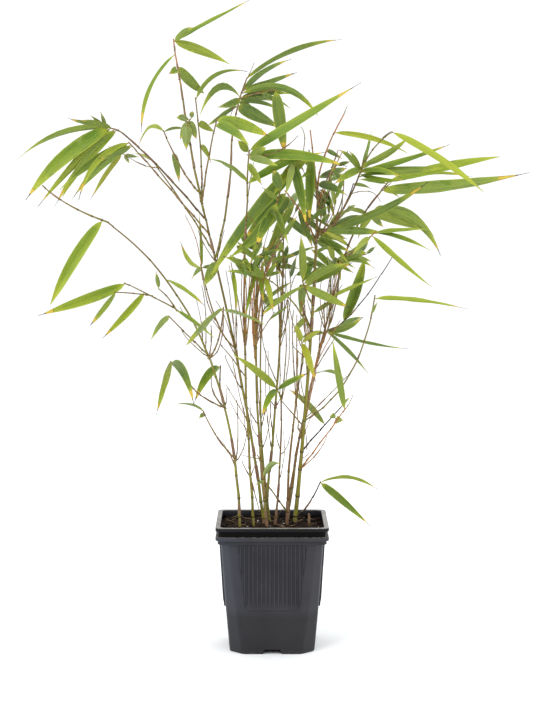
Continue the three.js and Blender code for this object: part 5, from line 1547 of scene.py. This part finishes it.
    def build_canes(self, finishes: dict[Bark, Material]) -> None:
        """Makes one piece for each culm and bough, and keeps their sheaths."""
        for seed, (name, plan) in enumerate({**CULMS, **BOUGHS}.items()):
            limb = self.growth.limbs[name]
            luck = lambda k, s=seed: chance(s + 61, k)
            length = limb.bend.length()
            born = [
                child.at * length
                for child in (*BOUGHS.values(), *SPRAYS.values())
                if child.on == name and 0 < child.at < 0.99
            ]
            is_culm = name in CULMS
            joints = self.joints(length, luck, born, *(self.culm_joints if is_culm else self.bough_joints))
            root = self.sunk if is_culm else self.back
            aged = CANE_AGES.get(name, self.aged)
            shape = self.limb_shape(limb, joints, self.cane_sides, luck, root, aged, slim=0.12 if is_culm else 0.0)
            piece = put_in(name.replace("culm", "cane").replace("bough", "limb"), shape, [finishes[plan.bark]])
            hand_over(piece, [name])
            self._wrap(limb, joints, luck, 0.3 if is_culm else 0.5)
            if name in FOOT_SLEEVES:
                self.sheaths.append(self.sheath(limb, 0.3, FOOT_SLEEVES[name], lambda n, s=seed: chance(s + 31, n)))

    def _wrap(self, limb: Limb, joints: Array, luck: Luck, share: float) -> None:
        """Keeps a sheath for some of a limb's joints, reaching part of the way to the next."""
        ends = np.append(joints[1:], limb.bend.length())
        for k, (low, high) in enumerate(zip(joints, ends)):
            if luck(k + 200) < share and high - low > 5:
                reach = min(high - low, 26) * (0.25 + 0.6 * luck(k + 300))
                self.sheaths.append(self.sheath(limb, low, reach, lambda n, k=k: luck(k * 5 + n + 400)))

    def build_twigs(self, finishes: dict[TwigSkin, Material], dry: Material) -> None:
        """Makes the twigs of all sprays and the bare fine twigs, joined by skin, and the sheaths."""
        shapes: dict[TwigSkin, list[Shape]] = {skin: [] for skin in TwigSkin}
        limbs = [
            (limb, SPRAYS[name].skin or (TwigSkin.OLIVE if chance(k, 3) < 0.4 else TwigSkin.BROWN))
            for k, (name, twigs) in enumerate(self.growth.twigs.items())
            for limb in twigs
        ]
        limbs.append((Limb(Bend.through(*self.stub), 1.2, 1.0), TwigSkin.BROWN))
        for seed, (limb, skin) in enumerate(limbs + self.growth.bare):
            luck = lambda k, s=seed: chance(s + 161, k)
            length = limb.bend.length()
            joints = self.joints(length, luck, [], *self.twig_joints)
            aged = (-0.5 - luck(2), 1.0 + luck(3))
            fine = limb.r0 < self.fine
            sides, swell, root = (self.fine_sides, 0.35, 0.6) if fine else (self.twig_sides, 0.3, 2.2)
            shapes[skin].append(self.limb_shape(limb, joints, sides, luck, root, aged, swell, 0.3))
            self._wrap(limb, joints, luck, 0.12 if fine else 0.3)
        for skin, grown in shapes.items():
            piece = put_in(f"twigs_{skin.name.lower()}", Shape.join(grown), [finishes[skin]])
            hand_over(piece)
        hand_over(put_in("sheaths", Shape.join(self.sheaths), [dry]))


@dataclass
class Foliage:
    """The leaves: long thin blades with a stalk, a fold along the rib and a fine dry tip."""

    growth: Growth
    thickness: float = 0.3
    stalk: float = 2.6  # the bare stalk at the foot of a blade
    fold: tuple[float, float] = (12.0, 36.0)  # how steeply the halves rise from the rib, in degrees
    twist: float = 34.0
    dry_share: float = 0.72  # the part of the leaves with a dry tip
    hair: float = 0.95  # where along a blade its tip becomes a hair
    green_end: float = 0.985  # where a blade without a dry tip ends
    dry_start: tuple[float, float] = (0.88, 0.1)  # where a dry tip starts at the latest, and the spread before it
    dry_turn: float = 0.72  # the part of the dry tip that is still straw
    dry_end: float = 0.995
    lap: float = 0.004  # how far each stretch reaches back into the last one
    rings: tuple[float, ...] = (0, 0.02, 0.05, 0.1, 0.17, 0.26, 0.37, 0.49, 0.61, 0.72, 0.82, 0.91, 1.0)

    def half_breadth(self, t: Array, foot: float, luck: float) -> Array:
        """A blade's half breadth as a part of its greatest, past its stalk.

        With u the part of the way from the stalk to where the hair of the tip starts, it is u to
        the 0.45 times (1 - u) to a power between 0.6 and 1.05, scaled to peak at one.
        """
        u = np.clip((t - foot) / (self.hair - foot), 0, 1)
        power = 0.6 + 0.45 * luck
        peak = 0.45 / (0.45 + power)
        return 0.96 * (u / peak) ** 0.45 * ((1 - u) / (1 - peak)) ** power

    def blade(self, blade: Blade, t: Array) -> Shape:
        """The stretch of a blade over the parts t of its way.

        Each ring has six corners: two edges, the rib on top and below, and a swelling on top of
        each half. The halves rise from the rib by the fold, the edges ripple, and the whole
        twists evenly along the way.

        Args:
            blade: the leaf.
            t: the parts of its way that get a ring.

        Returns:
            The closed shape, its underside faces marked with finish 1.
        """
        centres, tangents = blade.bend.point(t), blade.bend.tangent(t)
        first, second = cross_frames(tangents, blade.across)
        if second[:, 2].mean() < 0:
            first, second = -first, -second
        turn = np.radians(self.twist * (2 * blade.luck(11) - 1)) * (t - 0.35)
        first, second = (
            np.cos(turn)[:, None] * first + np.sin(turn)[:, None] * second,
            np.cos(turn)[:, None] * second - np.sin(turn)[:, None] * first,
        )
        foot = self.stalk / blade.length
        half = blade.wide / 2 * self.half_breadth(t, foot, blade.luck(20))
        rise = math.tan(math.radians(self.fold[0] + (self.fold[1] - self.fold[0]) * blade.luck(12)))
        ripple = 0.1 * np.sin(2 * math.pi * (t * (1.5 + 2 * blade.luck(13)) + blade.luck(14)))
        across = np.array((1.0, 0.5, 0.0, -0.5, -1.0, 0.0))
        lift = np.array((0.0, 1.0, 1.0, 1.0, 0.0, -0.6)) * self.thickness / 2
        wide = np.maximum(half, 0.5 - 0.2 * t)[:, None] * across[None]
        signed = np.sign(across) * ripple[:, None]
        high = np.abs(wide) * (rise + signed) + lift[None] * np.minimum(1, 0.35 + half / 1.2)[:, None]
        rings = centres[:, None] + wide[..., None] * first[:, None] + high[..., None] * second[:, None]
        # painted light: unless a leaf's marks are given, its shade mark is part chance and part its distance from the
        # clump's middle, so outer leaves come out lighter as if more sunlit
        middle = blade.bend.point(0.5)
        out = smooth(np.array(math.hypot(middle[0], middle[1])), 25, 190)
        shade, ripe = blade.marks or (0.6 * blade.luck(15) + 0.35 * out, smooth(np.array(blade.luck(19)), 0.55, 1.0))
        marks = {
            "across": across[None], "along": t[:, None],
            "shade": np.full((1, 6), shade), "ripe": np.full((1, 6), ripe),
        }
        return loft(rings, marks, np.array((0, 0, 0, 0, 1, 1)))

    def stalk_shape(self, blade: Blade) -> Shape:
        """A leaf's stalk: a little tube that widens into the foot of the blade."""
        t = np.linspace(0, (self.stalk + 2.0) / blade.length, 4)
        radius = np.array((0.55, 0.42, 0.4, 0.2))
        rings = round_rings(blade.bend.point(t), blade.bend.tangent(t), blade.across, radius, STRAW_SIDES)
        return loft(rings, fibre_marks(STRAW_SIDES, t, blade.luck(16) * 0.5))

    def build(self, greens: dict[Tone, list[Material]], dry: dict[str, Material]) -> None:
        """Makes the blades joined by tone, their stalks, and their dry tips in straw and brown.

        Args:
            greens: the finishes of the upper and under side by tone.
            dry: the finishes of stalks and tips by name.
        """
        grown: dict[Tone, list[Shape]] = {tone: [] for tone in Tone}
        stalks, straw, brown = [], [], []
        kinds = [(SPRAYS[name].tone, blades) for name, blades in self.growth.blades.items()]
        for tone, blades in kinds + [(tone, [blade]) for tone, blade in self.growth.loose]:
            for blade in blades:
                foot = (self.stalk - 0.8) / blade.length
                is_dry = blade.luck(17) < self.dry_share
                end = self.dry_start[0] - self.dry_start[1] * blade.luck(18) if is_dry else self.green_end
                grown[tone].append(self.blade(blade, foot + (end - foot) * np.array(self.rings)))
                stalks.append(self.stalk_shape(blade))
                if is_dry:
                    turn = end + (self.hair - end) * self.dry_turn
                    straw.append(self.blade(blade, np.linspace(end - self.lap, turn, 4)))
                    brown.append(self.blade(blade, np.linspace(turn - self.lap, self.dry_end, 4)))
        for tone, shapes in grown.items():
            nodes = [name for name, plan in SPRAYS.items() if plan.tone is tone]
            hand_over(put_in(f"blades_{tone.name.lower()}", Shape.join(shapes), greens[tone], 50), nodes)
        for label, shapes in (("leaf_stalks", stalks), ("leaf_tips_straw", straw), ("leaf_tips_brown", brown)):
            shape = Shape.join(shapes)
            shape.skins[:] = 0
            hand_over(put_in(label, shape, [dry[label]]))


@dataclass(frozen=True)
class Level:
    """One level of the pot: half its width, how much of its corners is cut, the rounding there.

    edge is how worn it is there and deep how much painted shade it has, as in a groove, under the lip or inside the
    pot.
    """

    half: float
    cut: float
    ease: float
    z: float
    edge: float = 0.0
    deep: float = 0.0


@dataclass
class NurseryPot:
    """The square pot: bands under its lip, cut corners, ribbed panels, and drain notches at its foot."""

    wall: float = 1.5
    inner_floor: float = 7.0
    ease_steps: int = 5
    edge_ease: float = 0.45  # how far the rounding of the profile's edges reaches
    notch_half: tuple[float, float] = (9.5, 7.5)
    notch_depth: float = 11.0
    notch_top: float = 4.4
    knee: float = 43.4  # the height where the panels end
    panel_foot: tuple[float, float, float] = (25.5, 47.2, 43.4)  # half width, outwards, height
    panel_top: tuple[float, float, float] = (34.0, 51.1, 108.4)
    ribs: int = 16
    rib_pitch: float = 4.1
    rib_width: float = 2.3
    rib_proud: float = 0.6
    rib_sunk: float = 0.6  # how far the plain strips between the ribs lie back

    def outline(self, level: Level, in_notch: bool = False) -> Array:
        """The level's outline: a square with cut corners, each corner of the cut eased by a small bend.

        Four more corners in each side hold the drain notch; above it they lie on the side.

        Args:
            level: the level.
            in_notch: whether the notch is cut here.

        Returns:
            Corners as (corner, xy), counter-clockwise seen from above.
        """
        half, cut = level.half, level.cut
        ease = min(level.ease, 0.42 * cut * math.sqrt(2), half - cut)
        u = np.linspace(0, 1, self.ease_steps)[:, None]
        slope = math.sqrt(0.5)
        sides = []
        for side in range(4):
            corner = np.array((half, half - cut))
            before, after = corner - (0, ease), corner + ease * slope * np.array((-1, 1))
            low = bend_at(u, before, corner, after)
            corner = np.array((half - cut, half))
            before, after = corner + ease * slope * np.array((1, -1)), corner - (ease, 0)
            high = bend_at(u, before, corner, after)
            inner = half - self.notch_depth if in_notch else half
            lean = self.notch_half[0] + (self.notch_half[1] - self.notch_half[0]) * min(1, level.z / self.notch_top)
            notch = np.array(((half, -lean), (inner, 0.4 - lean), (inner, lean - 0.4), (half, lean)))
            sides.append(np.concatenate((notch, low, high)) @ quarter(side)[:2, :2])
        return np.concatenate(sides)

    @staticmethod
    def eased(levels: Sequence[Level], ease: float) -> list[Level]:
        """Rounds each inner level of a profile: three levels on a small bend in place of one.

        Args:
            levels: the profile from its start to its end.
            ease: how far from the level the bend starts.

        Returns:
            The longer profile; rounded levels that stand out carry the wear of an edge.
        """
        rows = np.array([(p.half, p.cut, p.ease, p.z, p.edge, p.deep) for p in levels])
        made = [rows[:1]]
        for before, here, after in zip(rows[:-2], rows[1:-1], rows[2:]):
            near = min(ease / max(math.hypot(*(here - before)[[0, 3]]), 1e-6), 0.24)
            far = min(ease / max(math.hypot(*(after - here)[[0, 3]]), 1e-6), 0.24)
            start, end = here + (before - here) * near, here + (after - here) * far
            u = np.linspace(0, 1, 4)[:, None]
            bend = bend_at(u, start, here, end)
            bend[:, 4:] = here[4:]
            outer = np.array((2 * start - here, 2 * end - here))
            # the added levels carry no wear; the first keeps the greater painted shade of its two neighbours
            outer[:, 4], outer[0, 5], outer[1, 5] = 0, before[5] if before[5] > here[5] else here[5], here[5]
            made.append(np.concatenate((outer[:1], bend, outer[1:])))
        made.append(rows[-1:])
        return [Level(*row) for row in np.concatenate(made)]

    def shell(self) -> Shape:
        """The pot's wall as one skin: up its outside, over the lip, and down its inside to the floor."""
        w = self.wall
        foot = [Level(41.0, 13, 3, 0.0, 0.1), Level(41.6, 13, 3, 0.7, 0.1)]
        notch_top = 41.6 + 3.8 * self.notch_top / self.knee
        # each row: half width, cut, rounding, height, and where given wear and painted shade; the painted shade lies
        # under the lip bands, in the groove between them, on the lip's outer face and all down the inside
        profile = (
            (notch_top, 13, 3, self.notch_top + 0.05), (45.4, 11, 3, self.knee), (50.0, 8.5, 3, 108.0),
            (52.9, 4.1, 6, 108.0, 0.0, 0.2), (52.9, 4.1, 6, 112.0, 0.0, 0.25), (55.0, 4.1, 6, 112.0, 0.1),
            (55.0, 4.1, 6, 115.5, 0.15), (52.2, 4.1, 6, 115.5, 0.0, 0.95), (52.2, 4.1, 6, 121.0, 0.0, 0.9),
            (55.0, 4.1, 6, 121.0, 0.0, 0.75), (55.0, 4.1, 6, 124.5, 0.22, 0.5), (50.4, 3.6, 5, 124.5, 0.7),
            (50.4, 3.6, 5, 115.5, 0.0, 1.0), (50.0 - w, 7.5, 3, 106.0, 0.0, 1.0),
            (45.4 - w, 10, 3, self.knee, 0.0, 0.9), (42.3 - w, 12, 3, self.inner_floor, 0.0, 0.9),
        )
        eased = self.eased([Level(*row) for row in profile], self.edge_ease)
        levels = [*foot, Level(notch_top, 13, 3, self.notch_top), *eased]
        flat = [self.outline(p, in_notch=k < 3) for k, p in enumerate(levels)]
        rings = np.array([np.column_stack((xy, np.full(len(xy), p.z))) for xy, p in zip(flat, levels)])
        marks = {"edge": np.array([[p.edge] for p in levels]), "deep": np.array([[p.deep] for p in levels])}
        return loft(rings, marks)

    def panel(self) -> Shape:
        """One ribbed panel, on the front: a slab whose face lies at a distance that grows upwards.

        Across it are columns at fixed x; the lowest row of a column lies on the panel's foot or on
        its slanting side. The face stands out by the panel's own slant plus the ribs, each a bell
        cut flat, and falls back to the wall over the last 0.8 mm to the border.
        """
        half_foot, out_foot, low = self.panel_foot
        half_top, out_top, high = self.panel_top
        middles = (np.arange(self.ribs) - (self.ribs - 1) / 2) * self.rib_pitch
        profile = np.array((-0.5, -0.42, -0.3, 0.3, 0.42, 0.5)) * self.rib_width
        x = np.concatenate((middles[:, None] + profile).tolist() + [np.array((-1, 1)) * half_foot])
        x = np.unique(np.clip(np.concatenate((x, [-half_top, half_top])), -half_top, half_top).round(3))
        nearest = np.abs(x[:, None] - middles[None]).min(1)
        rib = smooth(-nearest, -0.5 * self.rib_width, -0.3 * self.rib_width)
        slope = (high - low) / (half_top - half_foot)
        bottom = low + np.maximum(0, np.abs(x) - half_foot) * slope
        steep = np.where(np.abs(x) > half_foot + 0.01, slope, 1.0)
        inset = np.array((0.0, 0.0, 0.25, 0.5, 0.8))
        fall = np.array((3.2, 0.7, 0.25, 0.07, 0.0))
        start = np.minimum(bottom[None] + inset[:, None] * steep[None], high - 0.05)
        upper = start[-1] + (high - start[-1]) * np.linspace(0, 1, 9)[1:, None]
        z = np.concatenate((start, upper))
        back = np.concatenate((fall, np.zeros(8)))[:, None]
        share = (z - low) / (high - low)
        fade = smooth(z - bottom[None], 0.6, 2.2)
        ribs = (rib[None] * (self.rib_proud + self.rib_sunk) - self.rib_sunk) * fade
        y = -(out_foot + share * (out_top - out_foot) + ribs - back)
        front = np.stack((np.broadcast_to(x, z.shape), y, z), axis=-1)
        rear = front[[-1, 0]].copy()
        rear[..., 1] = -43.5 - 4.6 * (rear[..., 2] - low) / (high - low)
        rings = np.concatenate((rear[:1], front[::-1], rear[1:])).transpose(1, 0, 2)
        # painted shade in the strips between the ribs and along the panel's lower border
        strips = (0.14 * (1 - rib)[None] * fade)[::-1]
        deep = np.concatenate((0 * x[None], strips, 0 * x[None])).T
        deep[:, -5:-2] = 0.12
        return loft(rings, {"edge": np.zeros((1, 1)), "deep": deep})

    def build(self, finish: Material) -> None:
        """Joins the shell and its four panels into the pot."""
        front = self.panel()
        panels = [
            Shape(front.points @ quarter(side), front.quads, front.tris, front.skins, front.marks)
            for side in range(4)
        ]
        piece = put_in("nursery_pot", Shape.join([self.shell(), *panels]), [finish], sharp=40)
        piece.modifiers.new("even faces", "WEIGHTED_NORMAL").keep_sharp = True
        hand_over(piece, ["pot"])


@dataclass
class PottingSoil:
    """Peaty soil with crumbs, straw and grit lying on it."""

    half: float = 50.2
    bottom: float = 100.0
    level: float = 116.0
    cells: int = 110
    crumbs: int = 1100
    fibres: int = 70
    grit: int = 60
    seed: int = 11

    def height(self, x: Array, y: Array) -> Array:
        """The soil's height: sums of sines of growing pitch with fixed turns, lower towards the wall."""
        rng = np.random.default_rng(self.seed)
        total = np.zeros_like(x)
        for pitch, size in ((34, 0.9), (17, 0.7), (8.5, 0.55), (4.6, 0.4), (2.6, 0.26)):
            for _ in range(4):
                turn, shift = rng.uniform(0, 2 * math.pi, 2)
                total += size * np.sin(2 * math.pi * (x * math.cos(turn) + y * math.sin(turn)) / pitch + shift) / 2
        heap = 1.6 * np.exp(-((x / 34) ** 2) - (((y - 10) / 34) ** 2))
        return self.level + total + heap

    def ground(self) -> Shape:
        """The soil's lump: rings from the middle of its top out to the wall, then down and in."""
        share = np.concatenate((np.linspace(0.02, 1, self.cells // 2), [1.0, 1.0]))[:, None]
        turn = turns(2 * self.cells)[None]
        square = np.minimum(1 / np.maximum(np.abs(np.cos(turn)), 1e-6), 1 / np.maximum(np.abs(np.sin(turn)), 1e-6))
        square = np.minimum(square, 1.3)
        x = share * self.half * square * np.cos(turn)
        y = share * self.half * square * np.sin(turn)
        z = self.height(x, y)
        z[-1] = self.bottom
        x[-1] *= 0.955
        y[-1] *= 0.955
        return loft(np.stack((x, y, z), axis=-1)[::-1])

    def scatter(self, rng: np.random.Generator, count: int, size: tuple[float, float], flat: float) -> list[Shape]:
        """Lumps on the soil: five-sided pebbles of three rings with corners moved about.

        Args:
            rng: the source of the places.
            count: how many.
            size: the smallest and largest radius.
            flat: height over width.

        Returns:
            One shape for each lump.
        """
        lumps = []
        angle = turns(STRAW_SIDES)
        for _ in range(count):
            x, y = rng.uniform(-self.half + 1.5, self.half - 1.5, 2)
            radius = size[0] + (size[1] - size[0]) * rng.random() ** 2.5
            reach = radius * np.array((0.55, 1.0, 0.6))[:, None] * rng.uniform(0.7, 1.3, (3, 5))
            rise = radius * flat * np.array((-0.7, 0.0, 0.7))[:, None] * rng.uniform(0.7, 1.2, (3, 5))
            z = float(self.height(np.array(x), np.array(y))) + 0.35 * radius * flat
            rings = np.stack((x + reach * np.cos(angle), y + reach * np.sin(angle), z + rise), axis=-1)
            lumps.append(loft(rings))
        return lumps

    def straws(self, rng: np.random.Generator) -> list[Shape]:
        """Short straws: thin bent sticks that lie on the soil, one end a little up."""
        sticks = []
        for k in range(self.fibres):
            x, y = rng.uniform(-self.half + 6, self.half - 6, 2)
            turn, length = rng.uniform(0, 2 * math.pi), rng.uniform(3, 13)
            foot = np.array((x, y, float(self.height(np.array(x), np.array(y))) + 0.3))
            tip = foot + length * np.array((math.cos(turn), math.sin(turn), rng.uniform(-0.05, 0.3)))
            tip[:2] = np.clip(tip[:2], -self.half + 2, self.half - 2)
            if k < len(STRAWS):
                foot, tip = (np.array(end, float) for end in STRAWS[k])
            half = (foot + tip) / 2 + rng.uniform(-0.6, 1.0, 3)
            bend = Bend.through(foot, half, tip)
            t = np.linspace(0, 1, 6)
            radius = rng.uniform(0.16, 0.45) * (1 - 0.4 * t)
            rings = round_rings(bend.point(t), bend.tangent(t), np.array((0.3, 0.2, 0.93)), radius, STRAW_SIDES)
            sticks.append(loft(rings, fibre_marks(STRAW_SIDES, t, rng.random())))
        return sticks

    def build(self, finishes: dict[str, Material]) -> None:
        """Makes the ground and what lies on it, each kind joined."""
        rng = np.random.default_rng(self.seed + 1)
        hand_over(put_in("soil_ground", self.ground(), [finishes["soil_ground"]]), ["soil"])
        kinds = {
            "soil_crumbs": self.scatter(rng, self.crumbs, (0.5, 2.4), 0.8),
            "soil_grit": self.scatter(rng, self.grit, (0.4, 1.3), 0.8),
            "soil_straw": self.straws(rng),
        }
        for name, shapes in kinds.items():
            hand_over(put_in(name, Shape.join(shapes), [finishes[name]]))


# each lamp: its name, its place in m, the height on the plant that it points at, its power in watts, its tint
LAMPS: tuple[tuple, ...] = (
    ("key light", (-1.5, -1.9, 1.7), 0.3, 32.0, (1.0, 0.99, 0.97)),
    ("fill light", (1.9, -1.2, 1.0), 0.3, 12.0, (0.95, 0.97, 1.0)),
    ("back light", (0.5, 2.0, 1.5), 0.4, 12.0, (0.95, 0.98, 1.0)),
)


@dataclass
class Studio:
    """The pale floor, the soft lights and the camera."""

    eye: tuple[float, float, float] = (-0.0055, -1.664, 0.418)
    lens: float = 84.8
    shift: float = -0.184
    floor_half: float = 14.0
    lamp_side: float = 1.4

    def build(self, finish: Material) -> None:
        """Sets up floor, sky, lights and camera."""
        bpy.context.scene.view_settings.view_transform = "Standard"
        self._floor(finish)
        self._sky()
        for name, place, aim, power, tint in LAMPS:
            self._lamp(name, place, (0.0, 0.0, aim), self.lamp_side, power, tint)
        camera = bpy.data.cameras.new("studio camera")
        camera.lens, camera.shift_y = self.lens, self.shift
        camera.clip_end = 60.0
        eye = set_down("studio camera", camera)
        eye.location = self.eye
        eye.rotation_euler = (math.radians(90), 0, 0)
        bpy.context.scene.camera = eye

    def _floor(self, finish: Material) -> None:
        """A flat round floor at z = 0: rings of a circle, 14 m across its half."""
        turn = turns(64)
        radius = np.array((0.5, 2.0, 6.0, self.floor_half))[::-1, None] / MM
        flat = np.stack((radius * np.cos(turn), radius * np.sin(turn), 0 * radius * turn), axis=-1)
        lower = flat[:1] - (0, 0, 10)
        floor = put_in("studio_floor", loft(np.concatenate((lower, flat))), [finish], sharp=30)

    @staticmethod
    def _sky() -> None:
        """An even pale light from all sides."""
        world = bpy.data.worlds.new("studio")
        world.use_nodes = True
        sky = next(n for n in world.node_tree.nodes if n.type == "BACKGROUND")
        sky.inputs[0].default_value = (0.97, 0.985, 1.0, 1)
        sky.inputs[1].default_value = 1.12
        bpy.context.scene.world = world

    @staticmethod
    def _lamp(name: str, place: tuple, target: tuple, size: float, power: float, colour: tuple) -> None:
        """A soft square lamp.

        Args:
            name: its name.
            place: where it stands, in metres.
            target: what it points at.
            size: its side.
            power: its power in watts.
            colour: its tint.
        """
        lamp = bpy.data.lights.new(name, "AREA")
        lamp.size, lamp.energy, lamp.color = size, power, colour
        stand = set_down(name, lamp)
        stand.location = place
        aim = unit(np.array(target) - np.array(place))
        yaw, pitch = math.atan2(aim[1], aim[0]) - math.pi / 2, math.asin(aim[2]) + math.pi / 2
        stand.rotation_euler = (pitch, 0, yaw)


def leaf_pair(name: str, upper: tuple, second: tuple, under: tuple) -> list[Finish]:
    """The finishes of a leaf's upper and under side."""
    return [
        LeafFinish(f"{name} upper", upper, 0.45, 0.3, second),
        LeafFinish(f"{name} under", under, 0.65, 0.15, tuple(0.75 * c for c in under)),
    ]


FLOOR = FloorFinish("studio floor", (0.99, 0.992, 0.995), 1.0, 0.0)
PLASTIC = PotFinish("moulded plastic", (0.018, 0.0175, 0.0215), 0.42, 0.3)
SOILS: dict[str, Finish] = {
    "soil_ground": EarthFinish("peat", (0.004, 0.0026, 0.002), 0.95, 0.1),
    "soil_crumbs": EarthFinish("peat crumbs", (0.006, 0.004, 0.003), 0.95, 0.1, (0.032, 0.018, 0.011)),
    "soil_grit": EarthFinish("grit", (0.42, 0.39, 0.34), 0.8, 0.2, (0.6, 0.58, 0.55), (0.3, 0.25, 0.2)),
    "soil_straw": DryFinish("straw", (0.3, 0.2, 0.115), 0.7, 0.2, (0.085, 0.038, 0.02)),
}
BARKS: dict[Bark, Finish] = {
    Bark.OLIVE: CaneFinish("olive cane", (0.22, 0.225, 0.011), 0.42, 0.3, (0.165, 0.11, 0.02)),
    Bark.BROWN: CaneFinish("brown cane", (0.22, 0.12, 0.03), 0.5, 0.2, (0.115, 0.062, 0.018)),
}
# the last number of a twig skin is how much painted shade darkens it towards its outline
TWIG_SKINS: dict[TwigSkin, Finish] = {
    TwigSkin.OLIVE: CaneFinish("olive twig", (0.25, 0.25, 0.018), 0.45, 0.2, (0.17, 0.11, 0.02), edge_shade=0.3),
    TwigSkin.BROWN: CaneFinish("brown twig", (0.33, 0.215, 0.042), 0.5, 0.2, (0.165, 0.095, 0.025), edge_shade=0.2),
    TwigSkin.ORANGE: CaneFinish("orange twig", (0.54, 0.27, 0.07), 0.5, 0.2, (0.34, 0.13, 0.03), edge_shade=0.2),
    TwigSkin.DARK: CaneFinish("dark twig", (0.08, 0.058, 0.03), 0.5, 0.2, (0.03, 0.02, 0.018), edge_shade=0.3),
}
DRY_SHEATH = DryFinish("dry sheath", (0.3, 0.19, 0.11), 0.65, 0.2, (0.11, 0.05, 0.028))
GREENS: dict[Tone, list[Finish]] = {
    Tone.FRESH: leaf_pair("fresh leaf", (0.1, 0.19, 0.011), (0.27, 0.34, 0.02), (0.18, 0.25, 0.05)),
    Tone.DEEP: leaf_pair("deep leaf", (0.045, 0.1, 0.007), (0.14, 0.225, 0.014), (0.12, 0.19, 0.045)),
    Tone.PALE: leaf_pair("pale leaf", (0.16, 0.225, 0.05), (0.24, 0.3, 0.07), (0.22, 0.28, 0.1)),
    Tone.YELLOW: leaf_pair("yellow leaf", (0.27, 0.3, 0.018), (0.38, 0.37, 0.03), (0.32, 0.33, 0.05)),
}
DRY_ENDS: dict[str, Finish] = {
    "leaf_stalks": DryFinish("leaf stalk", (0.34, 0.3, 0.045), 0.55, 0.2, (0.3, 0.15, 0.045)),
    "leaf_tips_straw": DryFinish("straw tip", (0.6, 0.49, 0.055), 0.6, 0.2, (0.5, 0.3, 0.05)),
    "leaf_tips_brown": DryFinish("brown tip", (0.06, 0.032, 0.02), 0.7, 0.1, (0.16, 0.13, 0.12)),
}


def build_all(finishes: dict[object, Finish], effects: Effects) -> dict[object, Material]:
    """Makes the material of each finish of a table, in its order."""
    return {key: finish.build(effects) for key, finish in finishes.items()}


def main() -> None:
    """Builds everything in order."""
    logging.basicConfig(level=logging.INFO, format="%(name)s: %(message)s")
    effects = Effects()
    growth = Growth()
    growth.grow()
    LOG.info("grown: %d blades", sum(len(b) for b in growth.blades.values()))
    Studio().build(FLOOR.build(effects))
    NurseryPot().build(PLASTIC.build(effects))
    PottingSoil().build(build_all(SOILS, effects))
    barks, skins = build_all(BARKS, effects), build_all(TWIG_SKINS, effects)
    canes = Canes(growth)
    canes.build_canes(barks)
    canes.build_twigs(skins, DRY_SHEATH.build(effects))
    greens = {tone: [side.build(effects) for side in pair] for tone, pair in GREENS.items()}
    Foliage(growth).build(greens, build_all(DRY_ENDS, effects))
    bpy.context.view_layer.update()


if __name__ == "__main__":
    main()
